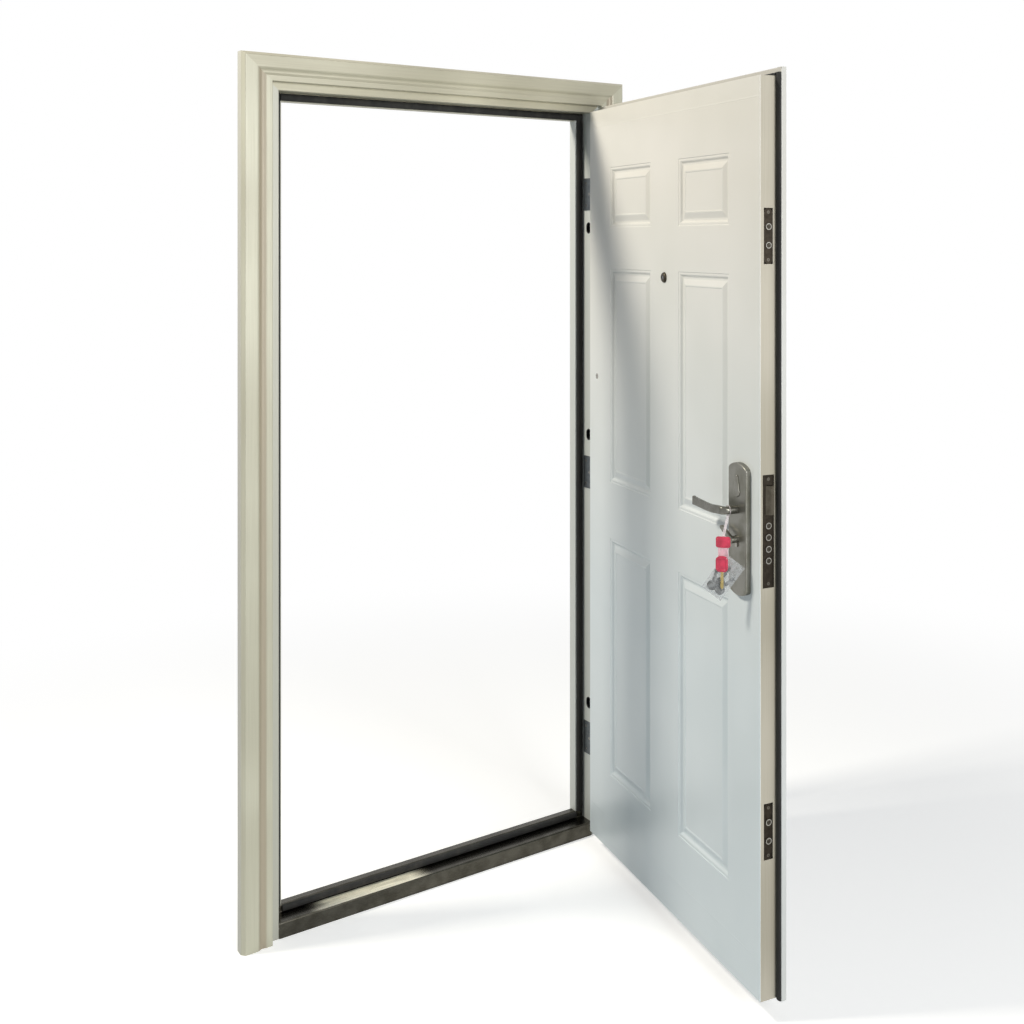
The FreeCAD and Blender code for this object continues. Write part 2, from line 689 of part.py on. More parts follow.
def outer_skin():
    """The outer skin is a pan: its edges turn back to make the lip that laps over the frame."""
    skin = pressed_skin("outer_skin_pressing", LIP_EDGE, LEAF_BOTTOM, LIP_TOP, LEAF_FRONT, 1)
    outline = folded_outline([
        (LIP_EDGE, LEAF_FRONT + v.skin / 2), (LIP_EDGE, LIP_BACK), (LEAF_EDGE, LIP_BACK),
    ], -v.skin, v.sheet_bend)
    pieces = [skin]
    for name, side in (("hinge_lip", 1), ("lock_lip", -1)):
        body = doc.addObject("PartDesign::Body", name)
        path = mapped(outline, lambda x, y: (side * x, y))
        sketch = closed_sketch(body, name + "_profile", "XY_Plane", path, offset=LEAF_BOTTOM)
        pad(body, sketch, LIP_TOP - LEAF_BOTTOM)
        ends = sorted((side * LEAF_EDGE, side * (LIP_EDGE - v.skin / 2)))
        foot = plain_box(name + "_foot", (ends[0], LEAF_FRONT + v.skin / 2, LEAF_BOTTOM),
                         (ends[1], LIP_BACK - v.skin / 2, LEAF_BOTTOM + v.skin))
        pieces += [body, foot]
    body = doc.addObject("PartDesign::Body", "top_lip")
    path = mapped(outline, lambda x, y: (y, LIP_TOP - (LIP_EDGE - x)))
    sketch = closed_sketch(body, "top_lip_profile", "YZ_Plane", path)
    pad(body, sketch, 2 * (LIP_EDGE - v.skin / 2), both=True)
    whole = fuse("outer_skin_blank", body, *pieces)
    keep("outer_skin", cut("outer_skin", whole, *leaf_holes("outer_skin")), on_leaf=True)


def lock_openings(name, depth):
    """Room for the three locks, cut in from the lock edge."""
    tools = []
    for lock, height, z, width in lock_rows():
        tools.append(plain_box(
            "%s_%s_room" % (name, lock),
            (LOCK_X - 1, LOCK_Y - width / 2 - v.hole_clearance, z - height / 2 - v.hole_clearance),
            (LOCK_X + depth, LOCK_Y + width / 2 + v.hole_clearance, z + height / 2 + v.hole_clearance),
        ))
    return tools


def lock_rows():
    return [
        ("main", v.faceplate_height, v.faceplate_z, v.faceplate_width),
        ("upper", v.aux_faceplate_height, v.upper_aux_z, v.aux_faceplate_width),
        ("lower", v.aux_faceplate_height, v.lower_aux_z, v.aux_faceplate_width),
    ]


def edge_channels():
    """Four channels that box in the leaf between its skins. The side channels stand between the
    webs of the top and bottom ones."""
    near = LIP_BACK - v.skin
    far = LEAF_BACK - v.skin
    low = LEAF_BOTTOM + v.skin
    high = LEAF_TOP - v.skin
    for node, side in (("hinge_edge", 1), ("lock_edge", -1)):
        body = doc.addObject("PartDesign::Body", node + "_channel")
        outline = folded_outline([
            (LEAF_EDGE - v.flange_width, near), (LEAF_EDGE, near),
            (LEAF_EDGE, far), (LEAF_EDGE - v.flange_width, far),
        ], -v.skin)
        path = mapped(outline, lambda x, y: (side * x, y))
        sketch = closed_sketch(body, node + "_profile", "XY_Plane", path, offset=low)
        pad(body, sketch, high - low)
        if side < 0:
            keep(node, cut(node, body, *lock_openings(node, v.flange_width / 2)), on_leaf=True)
        else:
            holes = []
            for name, z in dog_heights():
                holes.append(cylinder(
                    name + "_dog_hole", "sizes.dog_radius + sizes.hole_clearance", 3 * v.skin,
                    vec(LEAF_EDGE - 2 * v.skin, DOG_Y, z), vec(1, 0, 0)))
            keep(node, cut(node, body, *holes), on_leaf=True)
    inside = LEAF_EDGE - v.skin - v.flange_width
    for node, edge, turn in (("top_edge", LEAF_TOP, -1), ("bottom_edge", LEAF_BOTTOM, 1)):
        front = near if node == "top_edge" else LEAF_FRONT + v.skin
        body = doc.addObject("PartDesign::Body", node + "_channel")
        path = folded_outline([
            (front, edge + turn * v.flange_width), (front, edge),
            (far, edge), (far, edge + turn * v.flange_width),
        ], -turn * v.skin)
        sketch = closed_sketch(body, node + "_profile", "YZ_Plane", path)
        pad(body, sketch, 2 * inside, both=True)
        levels = sorted((edge, edge + turn * v.skin))
        web = plain_box(node + "_web", (-LEAF_EDGE, front, levels[0]), (LEAF_EDGE, far, levels[1]))
        keep(node, fuse(node, body, web), on_leaf=True)


def core():
    """The stiffening core between the skins, cut away for the locks."""
    edge = LEAF_EDGE - v.flange_width - 2 * v.skin
    room = v.press_depth + v.skin + v.core_clearance
    low = LEAF_BOTTOM + v.flange_width + 2 * v.skin
    high = LEAF_TOP - v.flange_width - 2 * v.skin
    block = plain_box("core_block", (-edge, LEAF_FRONT + room, low), (edge, LEAF_BACK - room, high))
    rooms = []
    for lock, height, z, width in lock_rows():
        length = v.case_length if lock == "main" else v.aux_case_length
        rooms.append(plain_box(
            "core_%s_room" % lock,
            (-edge - 1, LEAF_FRONT, z - height / 2 - v.hole_clearance),
            (LOCK_X + length + v.hole_clearance, LEAF_BACK, z + height / 2 + v.hole_clearance),
        ))
    keep("core", cut("core", block, *(rooms + leaf_holes("core"))), on_leaf=True)


def lip_seals():
    base = LIP_BACK
    start = LEAF_EDGE + v.core_clearance
    end = start + v.lip_seal_width
    top_start = LEAF_TOP + v.core_clearance
    for node, low in (("hinge_lip_seal", start), ("lock_lip_seal", -end)):
        body = doc.addObject("PartDesign::Body", node)
        path = seal_profile(low, v.lip_seal_width, base, -v.lip_seal_depth)
        sketch = closed_sketch(body, node + "_profile", "XY_Plane", path, offset=LEAF_BOTTOM)
        pad(body, sketch, top_start + v.top_seal_width - LEAF_BOTTOM)
        keep(node, body, on_leaf=True)
    body = doc.addObject("PartDesign::Body", "top_lip_seal")
    path = seal_profile(top_start, v.top_seal_width, base, -v.lip_seal_depth)
    sketch = closed_sketch(body, "top_lip_seal_profile", "YZ_Plane", mapped(path, swap))
    pad(body, sketch, 2 * start, both=True)
    keep("top_lip_seal", body, on_leaf=True)


def dog_bolts():
    """Fixed pins on the hinge edge that lock into the hinge jamb when the leaf is shut."""
    pins = []
    for name, z in dog_heights():
        tail = v.flange_width / 2
        pin = cylinder(name + "_dog_pin", "sizes.dog_radius", tail + v.dog_length,
                       vec(LEAF_EDGE - tail, DOG_Y, z), vec(1, 0, 0))
        collar = cylinder(name + "_dog_collar", "sizes.dog_radius + sizes.dog_collar",
                          v.collar_thickness,
                          vec(LEAF_EDGE - v.skin - v.collar_thickness, DOG_Y, z), vec(1, 0, 0))
        pins.append(fuse(name + "_dog", pin, collar))
    keep("dog_bolts", group("dog_bolts", pins), on_leaf=True)


def lock_body(node, lock, height, z, width, case_length, case_height, round_ends):
    """A faceplate with its case behind it, bored for the bolts."""
    half = width / 2
    straight = height / 2 - (half if round_ends else 0)
    plate = doc.addObject("PartDesign::Body", node + "_faceplate")
    if round_ends:
        path = [
            (LOCK_Y + half, z - straight), (LOCK_Y + half, z + straight),
            ((LOCK_Y, z + straight + half), (LOCK_Y - half, z + straight)),
            (LOCK_Y - half, z - straight),
            ((LOCK_Y, z - straight - half), (LOCK_Y + half, z - straight)),
        ]
    else:
        path = [
            (LOCK_Y - half, z - straight), (LOCK_Y + half, z - straight),
            (LOCK_Y + half, z + straight), (LOCK_Y - half, z + straight),
        ]
    sketch = closed_sketch(plate, node + "_faceplate_outline", "YZ_Plane", path, offset=LOCK_X)
    pad(plate, sketch, "sizes.faceplate_thickness")
    thick = v.case_thickness / 2
    case = plain_box(
        node + "_case",
        (LOCK_X + v.faceplate_thickness, LOCK_Y - thick, z - case_height / 2),
        (LOCK_X + case_length, LOCK_Y + thick, z + case_height / 2),
    )
    tools = []
    for index, bolt_z in enumerate(bolt_heights(lock)):
        tools.append(cylinder("%s_bore_%d" % (node, index + 1),
                              "sizes.bolt_radius + sizes.bolt_clearance", v.bolt_length + 2,
                              vec(LOCK_X - 1, LOCK_Y, bolt_z), vec(1, 0, 0)))
    if lock == "main":
        gap = v.latch_clearance
        tools.append(plain_box(
            "latch_room",
            (LOCK_X - 1, LOCK_Y - v.latch_width / 2 - gap, v.latch_z - v.latch_height / 2 - gap),
            (LOCK_X + v.latch_length + gap, LOCK_Y + v.latch_width / 2 + gap,
             v.latch_z + v.latch_height / 2 + gap),
        ))
        tools += leaf_holes("main_lock")[:3]
    keep(node, cut(node, fuse(node + "_blank", plate, case), *tools), on_leaf=True)


def locks():
    lock_body("main_lock", "main", v.faceplate_height, v.faceplate_z, v.faceplate_width,
              v.case_length, v.case_height, False)
    for name, z in (("upper", v.upper_aux_z), ("lower", v.lower_aux_z)):
        lock_body(name + "_lock", name, v.aux_faceplate_height, z, v.aux_faceplate_width,
                  v.aux_case_length, v.aux_case_height, True)


def bolts():
    """The bolts of each lock, drawn back so that only their tips stand proud."""
    for lock in ("main", "upper", "lower"):
        rods = []
        for index, z in enumerate(bolt_heights(lock)):
            rods.append(cylinder("%s_bolt_%d" % (lock, index + 1), "sizes.bolt_radius",
                                 v.bolt_length, vec(LOCK_X - v.bolt_proud, LOCK_Y, z), vec(1, 0, 0)))
        node = lock + "_bolts"
        keep(node, group(node, rods), on_leaf=True)


def latch():
    """The latch tongue, bevelled on the side that meets the strike first."""
    body = doc.addObject("PartDesign::Body", "latch_bolt")
    half = v.latch_width / 2
    tip = LOCK_X - v.latch_proud
    sketch = closed_sketch(body, "latch_profile", "XY_Plane", [
        (LOCK_X + v.latch_length - v.latch_proud, LOCK_Y - half),
        (LOCK_X + v.latch_length - v.latch_proud, LOCK_Y + half),
        (LOCK_X - v.skin, LOCK_Y + half), (tip, LOCK_Y - half / 4), (tip, LOCK_Y - half),
    ], offset=v.latch_z - v.latch_height / 2)
    pad(body, sketch, "sizes.latch_height")
    keep("latch_bolt", body, on_leaf=True)


# Door furniture


def round_edges(body, feature, name, radius, wanted):
    """Fillet the edges of a body's feature whose end points pass a test."""
    doc.recompute()
    names = []
    for index, edge in enumerate(feature.Shape.Edges, start=1):
        if wanted([vertex.Point for vertex in edge.Vertexes]):
            names.append("Edge%d" % index)
    fillet = body.newObject("PartDesign::Fillet", name)
    fillet.Base = (feature, names)
    fillet.setExpression("Radius", radius)
    return fillet


def drop_boss(name, y, out):
    """The teardrop boss in relief near the plate's top."""
    low = v.drop_bottom + v.drop_radius
    high = v.drop_top - v.drop_tip
    body = doc.addObject("PartDesign::Body", name)
    sketch = closed_sketch(body, name + "_outline", "XZ_Plane", [
        (SPINDLE_X + v.drop_radius, low), (SPINDLE_X + v.drop_tip, high),
        ((SPINDLE_X, v.drop_top), (SPINDLE_X - v.drop_tip, high)), (SPINDLE_X - v.drop_radius, low),
        ((SPINDLE_X, v.drop_bottom), (SPINDLE_X + v.drop_radius, low)),
    ], offset=-y)
    feature = pad(body, sketch, "sizes.plate_thickness + sizes.drop_rise", reverse=out > 0)
    face = y + out * (v.plate_thickness + v.drop_rise)
    round_edges(body, feature, name + "_rim", "sizes.drop_rise - 0.5",
                lambda ends: all(abs(p.y - face) < 0.001 for p in ends))
    return body


def backplate(node, y, out):
    """A long plate with arched ends. Out is the direction away from the leaf, along Y."""
    half = v.plate_width / 2
    straight = v.plate_height / 2 - v.plate_arch
    z = v.plate_z
    body = doc.addObject("PartDesign::Body", node + "_blank")
    sketch = closed_sketch(body, node + "_outline", "XZ_Plane", [
        (SPINDLE_X + half, z - straight), (SPINDLE_X + half, z + straight),
        ((SPINDLE_X, z + straight + v.plate_arch), (SPINDLE_X - half, z + straight)),
        (SPINDLE_X - half, z - straight),
        ((SPINDLE_X, z - straight - v.plate_arch), (SPINDLE_X + half, z - straight)),
    ], offset=-y)
    feature = pad(body, sketch, "sizes.plate_thickness", reverse=out > 0)
    corners = round_edges(body, feature, node + "_corners", "sizes.plate_corner",
                          lambda ends: len(ends) == 2 and abs(ends[0].y - ends[1].y) > 1)
    face = y + out * v.plate_thickness
    round_edges(body, corners, node + "_rim", "sizes.plate_rim",
                lambda ends: all(abs(p.y - face) < 0.001 for p in ends))
    plate = fuse(node + "_plate", body, drop_boss(node + "_drop", y, out))
    neck = cylinder(node + "_neck_hole", "sizes.neck_radius + sizes.hole_clearance",
                    3 * v.plate_thickness, vec(SPINDLE_X, y - 1.5 * v.plate_thickness, v.lever_z),
                    vec(0, 1, 0))
    barrel = cylinder(node + "_cylinder_hole", "sizes.cylinder_radius + sizes.hole_clearance",
                      3 * v.plate_thickness,
                      vec(SPINDLE_X, y - 1.5 * v.plate_thickness, v.cylinder_z), vec(0, 1, 0))
    reach = v.cylinder_radius / 2 + v.hole_clearance
    tail = plain_box(node + "_tail_hole",
                     (SPINDLE_X - reach, y - 1.5 * v.plate_thickness,
                      v.cylinder_z - v.cylinder_tail - v.hole_clearance),
                     (SPINDLE_X + reach, y + 1.5 * v.plate_thickness, v.cylinder_z))
    keep(node, cut(node, plate, neck, barrel, tail), on_leaf=True)


def grip_section(middle, along, height, depth, radius):
    """A closed section across the lever: a rectangle with rounded corners."""
    across = vec(-along[1], along[0])
    far, flat = depth / 2, depth / 2 - radius
    high, straight = height / 2, height / 2 - radius
    lean = radius * math.sqrt(0.5)

    def point(out, up):
        return middle + across * out + vec(0, 0, up)

    edges = []
    for a, b in ((1, 1), (-1, 1), (-1, -1), (1, -1)):
        side, end = point(a * far, b * straight), point(a * flat, b * high)
        corner = point(a * (flat + lean), b * (straight + lean))
        if a * b > 0:
            edges.append(Part.Arc(side, corner, end).toShape())
            edges.append(Part.LineSegment(end, point(-a * flat, b * high)).toShape())
        else:
            edges.append(Part.Arc(end, corner, side).toShape())
            edges.append(Part.LineSegment(side, point(a * far, -b * straight)).toShape())
    return Part.Wire(edges)


def lever(node, y, out):
    """A lever on a round neck that bends over into a flat grip, pointing to the hinge side."""
    reach = v.plate_thickness + v.neck_length - v.lever_depth / 2
    turn_out = reach - v.lever_bend
    start = y + out * v.hole_clearance
    neck = cylinder(node + "_neck", "sizes.neck_radius", turn_out - v.hole_clearance,
                    vec(SPINDLE_X, start, v.lever_z), vec(0, out, 0))
    round_size = 2 * (v.neck_radius - v.grip_step)
    round_corner = round_size / 2 - v.grip_step
    inside_neck = vec(SPINDLE_X, y + out * (turn_out - v.grip_root), v.lever_z)
    sections = [grip_section(inside_neck, (0, out), round_size, round_size, round_corner)]
    for share in (0.0, 1 / 3, 2 / 3, 1.0):
        angle = share * math.pi / 2
        middle = vec(SPINDLE_X + v.lever_bend * (1 - math.cos(angle)),
                     y + out * (turn_out + v.lever_bend * math.sin(angle)), v.lever_z)
        along = (math.sin(angle), out * math.cos(angle))
        sections.append(grip_section(middle, along,
                                     round_size + share * (v.lever_height - round_size),
                                     round_size + share * (v.lever_depth - round_size),
                                     round_corner + share * (v.lever_corner - round_corner)))
    for share in (0.3, 0.6, 0.85, 1.0):
        height = v.tip_height if share == 1.0 else v.lever_height
        middle = vec(SPINDLE_X + share * v.lever_length, y + out * reach,
                     v.lever_z - v.lever_drop * math.sin(math.pi * share))
        sections.append(grip_section(middle, (1, 0), height, v.lever_depth, v.lever_corner))
    grip = doc.addObject("Part::Feature", node + "_grip")
    grip.Shape = Part.makeLoft(sections, True, False)
    keep(node, fuse(node, neck, grip), on_leaf=True)


def spindle():
    half = v.spindle_size / 2
    bar = plain_box("spindle",
                    (SPINDLE_X - half, LEAF_FRONT - v.hole_clearance, v.lever_z - half),
                    (SPINDLE_X + half, LEAF_BACK + v.hole_clearance, v.lever_z + half))
    keep("spindle", bar, on_leaf=True)


def lock_cylinder():
    near = LEAF_FRONT - v.plate_thickness - v.cylinder_proud
    far = LEAF_BACK + v.plate_thickness + v.cylinder_proud
    barrel = cylinder("cylinder_barrel", "sizes.cylinder_radius", far - near,
                      vec(SPINDLE_X, near, v.cylinder_z), vec(0, 1, 0))
    half = v.cylinder_radius / 2
    tail = plain_box("cylinder_tail",
                     (SPINDLE_X - half, near, v.cylinder_z - v.cylinder_tail),
                     (SPINDLE_X + half, far, v.cylinder_z))
    wide = v.key_slot_width / 2
    tall = v.key_slot_height / 2
    slot = plain_box("key_slot", (SPINDLE_X - wide, near - v.hole_clearance, v.cylinder_z - tall),
                     (SPINDLE_X + wide, near + v.key_slot_depth, v.cylinder_z + tall))
    keep("lock_cylinder", cut("lock_cylinder", fuse("cylinder_blank", barrel, tail), slot),
         on_leaf=True)


def thumb_turn():
    """The inside turn: a boss on the cylinder with a tapered wing, up towards the hinge side."""
    start = LEAF_BACK + v.plate_thickness + v.cylinder_proud + v.hole_clearance
    boss = cylinder("turn_boss", "sizes.turn_boss_radius", v.turn_boss_length + v.turn_wing_depth,
                    vec(SPINDLE_X, start, v.cylinder_z), vec(0, 1, 0))
    tilt = math.radians(v.turn_tilt)

    def tilted(along, across):
        return (SPINDLE_X + along * math.cos(tilt) - across * math.sin(tilt),
                v.cylinder_z + along * math.sin(tilt) + across * math.cos(tilt))

    root = v.turn_wing_root / 2
    tip = v.turn_wing_tip / 2
    end = v.turn_wing_length - tip
    body = doc.addObject("PartDesign::Body", "turn_wing")
    sketch = closed_sketch(body, "turn_wing_outline", "XZ_Plane", [
        tilted(0, -root), tilted(end, -tip),
        (tilted(v.turn_wing_length, 0), tilted(end, tip)), tilted(0, root),
    ], offset=-(start + v.turn_boss_length))
    pad(body, sketch, "sizes.turn_wing_depth", reverse=True)
    keep("thumb_turn", fuse("thumb_turn", boss, body), on_leaf=True)


def peephole():
    """A viewer through the leaf: a tube with a domed flange on each side, turned in one piece."""
    body = doc.addObject("PartDesign::Body", "peephole")
    tube = v.peephole_radius
    rim = v.peephole_flange
    face = rim * 0.6
    dome = (rim * 0.88, v.peephole_proud * 0.72)
    outside = LEAF_FRONT - v.peephole_proud
    inside = LEAF_BACK + v.peephole_proud
    sketch = closed_sketch(body, "peephole_profile", "XY_Plane", [
        (0, outside), (face, outside),
        ((dome[0], LEAF_FRONT - dome[1]), (rim, LEAF_FRONT)),
        (tube, LEAF_FRONT), (tube, LEAF_BACK), (rim, LEAF_BACK),
        ((dome[0], LEAF_BACK + dome[1]), (face, inside)),
        (v.lens_radius, inside), (v.lens_radius, inside - v.lens_recess),
        (0, inside - v.lens_recess),
    ])
    turned = body.newObject("PartDesign::Revolution", "peephole_turned")
    turned.Profile = sketch
    turned.ReferenceAxis = (sketch, ["V_Axis"])
    turned.Angle = 360
    body.Placement.Base = vec(0, 0, v.peephole_z)
    keep("peephole", body, on_leaf=True)


def strap_section(middle, across, outward):
    """A flat rectangle across the strap, in a level plane."""
    a = across * (v.strap_width / 2)
    b = outward * (v.strap_thickness / 2)
    corners = [middle - a - b, middle + a - b, middle + a + b, middle - a + b]
    return Part.Wire(Part.makePolygon(corners + corners[:1]).Edges)


def key_set():
    """A key tag and a clear pouch, hung by a strap from the neck of the inside lever. They are
    turned about the upright so that they face past the lock edge."""
    turn = math.radians(v.key_turn)
    across = vec(-math.cos(turn), -math.sin(turn))
    outward = vec(-math.sin(turn), math.cos(turn))
    facing = FreeCAD.Rotation(across, -outward, vec(0, 0, 1), "XZY")
    ring_y = LEAF_BACK + v.ring_out
    hang = vec(SPINDLE_X - v.tag_shift, LEAF_BACK + v.tag_out, v.tag_z)

    ring_radius = v.neck_radius + v.ring_clearance
    outer_ring = cylinder("strap_ring_outside",
                          "sizes.neck_radius + sizes.ring_clearance + sizes.ring_wall",
                          v.strap_thickness, vec(SPINDLE_X, ring_y, v.lever_z), vec(0, 1, 0))
    inner_ring = cylinder("strap_ring_inside", "sizes.neck_radius + sizes.ring_clearance",
                          3 * v.strap_thickness,
                          vec(SPINDLE_X, ring_y - v.strap_thickness, v.lever_z), vec(0, 1, 0))
    ring = cut("strap_ring", outer_ring, inner_ring)
    behind = v.tag_thickness / 2 + v.strap_thickness / 2 + v.hole_clearance
    back = hang - outward * behind
    top = vec(SPINDLE_X, ring_y + v.strap_thickness / 2, v.lever_z - ring_radius - v.ring_wall / 2)
    half_tag = v.tag_height / 2
    middle = hang - vec(0, 0, v.pouch_drop)
    lean = math.radians(v.pouch_lean)
    wide, tall = v.pouch_width / 2, v.pouch_height / 2
    catch = (middle + across * (tall * math.sin(lean) - wide * math.cos(lean))
             + vec(0, 0, wide * math.sin(lean) + tall * math.cos(lean))
             - outward * (behind + (v.pouch_thickness - v.tag_thickness) / 2))
    strip = doc.addObject("Part::Feature", "strap_strip")
    strip.Shape = Part.makeLoft([
        strap_section(top, across, outward),
        strap_section(back + vec(0, 0, half_tag), across, outward),
        strap_section(back - vec(0, 0, half_tag), across, outward),
        strap_section(catch, across, outward),
        strap_section(catch - vec(0, 0, v.strap_lap), across, outward),
    ], True, True)
    keep("key_strap", fuse("key_strap", ring, strip), on_leaf=True)

    tag = doc.addObject("Part::Box", "key_tag")
    tag.setExpression("Length", "sizes.tag_width")
    tag.setExpression("Width", "sizes.tag_thickness")
    tag.setExpression("Height", "sizes.tag_height")
    corner = vec(-v.tag_width / 2, -v.tag_thickness / 2, -half_tag)
    tag.Placement = FreeCAD.Placement(hang + facing.multVec(corner), facing)
    keep("key_tag", tag, on_leaf=True)

    pouch = doc.addObject("Part::Box", "key_pouch")
    pouch.setExpression("Length", "sizes.pouch_width")
    pouch.setExpression("Width", "sizes.pouch_thickness")
    pouch.setExpression("Height", "sizes.pouch_height")
    leaning = facing.multiply(FreeCAD.Rotation(vec(0, 1, 0), v.pouch_lean))
    corner = vec(-wide, -v.pouch_thickness / 2, -tall)
    pouch.Placement = FreeCAD.Placement(middle + leaning.multVec(corner), leaning)
    keep("key_pouch", pouch, on_leaf=True)


jamb("left_jamb", -1, strike_openings())
jamb("right_jamb", 1, dog_sockets())
head()
sill()
threshold_cover()
stop_seals()
strike_plates()
hinges()
outer_skin()
inner_skin()
edge_channels()
core()
lip_seals()
dog_bolts()
locks()
bolts()
latch()
for place, face, away in (("inner", LEAF_BACK, 1), ("outer", LEAF_FRONT, -1)):
    backplate(place + "_backplate", face, away)
    lever(place + "_lever", face, away)
spindle()
lock_cylinder()
thumb_turn()
peephole()
key_set()

doc.recompute()
for item in doc.Objects:
    if "Invalid" in item.State or "Error" in item.State:
        raise RuntimeError("%s failed: %s" % (item.Name, item.State))
for node, item in finished.items():
    shape = item.Shape
    if shape.isNull() or not shape.isValid() or not shape.Solids:
        raise RuntimeError("%s is not a valid solid" % node)

os.makedirs("parts", exist_ok=True)
for node, item in finished.items():
    item.Shape.exportStep("parts/%s.step" % node)
    print("%-24s solids %d volume %.1f cm3" % (node, len(item.Shape.Solids), item.Shape.Volume / 1000))
print("%d pieces" % len(finished))
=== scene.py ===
import json
import math

import bmesh
import bpy
from mathutils import Matrix, Vector


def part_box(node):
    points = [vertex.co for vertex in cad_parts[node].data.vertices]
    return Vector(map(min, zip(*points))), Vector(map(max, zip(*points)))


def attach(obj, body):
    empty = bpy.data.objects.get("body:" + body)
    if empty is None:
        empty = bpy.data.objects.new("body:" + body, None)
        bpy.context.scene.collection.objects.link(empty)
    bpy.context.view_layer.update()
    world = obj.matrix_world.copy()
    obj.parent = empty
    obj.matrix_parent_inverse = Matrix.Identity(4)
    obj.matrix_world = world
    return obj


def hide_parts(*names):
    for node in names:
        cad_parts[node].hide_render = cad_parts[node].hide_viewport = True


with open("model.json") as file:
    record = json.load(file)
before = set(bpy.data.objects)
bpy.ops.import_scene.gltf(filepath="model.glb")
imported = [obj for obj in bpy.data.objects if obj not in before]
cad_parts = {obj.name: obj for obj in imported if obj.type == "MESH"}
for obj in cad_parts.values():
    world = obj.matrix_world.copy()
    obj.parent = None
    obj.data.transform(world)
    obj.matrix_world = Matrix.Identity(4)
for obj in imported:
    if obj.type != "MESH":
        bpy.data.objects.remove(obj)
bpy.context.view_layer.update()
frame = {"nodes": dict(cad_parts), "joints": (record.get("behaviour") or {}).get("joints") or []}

# Steel exterior door, standing open: finishes, lights and the small pieces that the frame lacks.
# Metres, +Z up. Pieces on the leaf are made with the door shut and then swung open with it.

nodes = frame["nodes"]

SWING_JOINT = next(joint for joint in frame["joints"] if joint["name"] == "leaf_swing")
HINGE_PIN = Vector(SWING_JOINT["pos_m"])
OPEN_ANGLE = math.radians(-SWING_JOINT["range_deg"][0])
SWING = (
    Matrix.Translation(HINGE_PIN)
    @ Matrix.Rotation(OPEN_ANGLE, 4, "Z")
    @ Matrix.Translation(-HINGE_PIN)
)
MM = 0.001


def shut_box(node):
    """The lowest and highest corners of a leaf node with the door shut."""
    back = SWING.inverted()
    points = [back @ vertex.co for vertex in nodes[node].data.vertices]
    low = Vector([min(point[i] for point in points) for i in range(3)])
    high = Vector([max(point[i] for point in points) for i in range(3)])
    return low, high


# Node trees


def linear(code):
    """An sRGB hex colour as linear red, green, blue and alpha."""
    shares = [int(code[i:i + 2], 16) / 255 for i in (0, 2, 4)]
    return [s / 12.92 if s <= 0.04045 else ((s + 0.055) / 1.055) ** 2.4 for s in shares] + [1.0]


def add(tree, kind, inputs=None, **settings):
    """Add a node. Settings are its options; inputs are values, or sockets that feed it."""
    node = tree.nodes.new("ShaderNode" + kind)
    for option, value in settings.items():
        setattr(node, option, value)
    for socket, value in (inputs or {}).items():
        if isinstance(value, bpy.types.NodeSocket):
            tree.links.new(value, node.inputs[socket])
        else:
            node.inputs[socket].default_value = value
    return node


def finish_of(name, colour, roughness, metallic=0.0, **shader_values):
    """A new material. Returns it with its tree, its shader and the Object coordinates."""
    material = bpy.data.materials.new(name)
    material.use_nodes = True
    tree = material.node_tree
    shader = tree.nodes["Principled BSDF"]
    shader.inputs["Base Color"].default_value = linear(colour)
    shader.inputs["Roughness"].default_value = roughness
    shader.inputs["Metallic"].default_value = metallic
    for socket, value in shader_values.items():
        shader.inputs[socket.replace("_", " ")].default_value = value
    place = add(tree, "TexCoord").outputs["Object"]
    return material, tree, shader, place


def grain(tree, place, size_mm, stretch=(1, 1, 1), detail=2.0):
    """Noise whose grains have a real size, drawn out by a factor along each axis."""
    scale = [1 / factor for factor in stretch]
    placed = add(tree, "Mapping", {"Vector": place, "Scale": scale})
    noise = add(tree, "TexNoise", {"Vector": placed.outputs[0], "Scale": 1 / (size_mm * MM),
                                   "Detail": detail})
    return noise.outputs["Fac"]


def spread(tree, share, low, high, start=0.3, end=0.7):
    """Map a noise's middle range onto low to high."""
    ranged = add(tree, "MapRange", {"Value": share, "From Min": start, "From Max": end,
                                    "To Min": low, "To Max": high})
    return ranged.outputs["Result"]


def blend_colours(tree, share, first, second):
    """A mix of two colours, each a hex code or a socket."""
    first, second = [linear(c) if isinstance(c, str) else c for c in (first, second)]
    mix = add(tree, "Mix", {0: share, 6: first, 7: second}, data_type="RGBA")
    return mix.outputs[2]


def near(tree, value, centre, reach, full=0.0):
    """1 where a value is within full of a centre, fading to 0 at reach."""
    away = add(tree, "Math", {0: value, 1: centre}, operation="SUBTRACT")
    far = add(tree, "Math", {0: away.outputs[0]}, operation="ABSOLUTE")
    ramp = add(tree, "MapRange", {"Value": far.outputs[0], "From Min": full, "From Max": reach,
                                  "To Min": 1.0, "To Max": 0.0}, interpolation_type="SMOOTHSTEP")
    return ramp.outputs["Result"]


def relief(tree, shader, height, depth_mm):
    """Drive the shader's normal with a height that stands for a real depth."""
    bump = add(tree, "Bump", {"Height": height, "Distance": depth_mm * MM})
    tree.links.new(bump.outputs["Normal"], shader.inputs["Normal"])


def weighed(tree, first, second, share):
    """One height plus a share of another."""
    total = add(tree, "Math", {0: second, 1: share, 2: first}, operation="MULTIPLY_ADD")
    return total.outputs[0]


# Finishes

# Bands on the frame, in metres: the centre, the distance at which the band has faded out, and the
# distance up to which it is full.
# The band painted browner across the trim's cove: painted shade.
PAINTED_COVE_SHADE = (0.4970, 0.0130, 0.006)
# Where the cream streak on the threshold's tread lies: a painted reflection.
PAINTED_REFLECTION_LENGTH = (-0.206, 0.170, 0.105)
PAINTED_REFLECTION_WIDTH = (-0.0045, 0.0215, 0.0205)
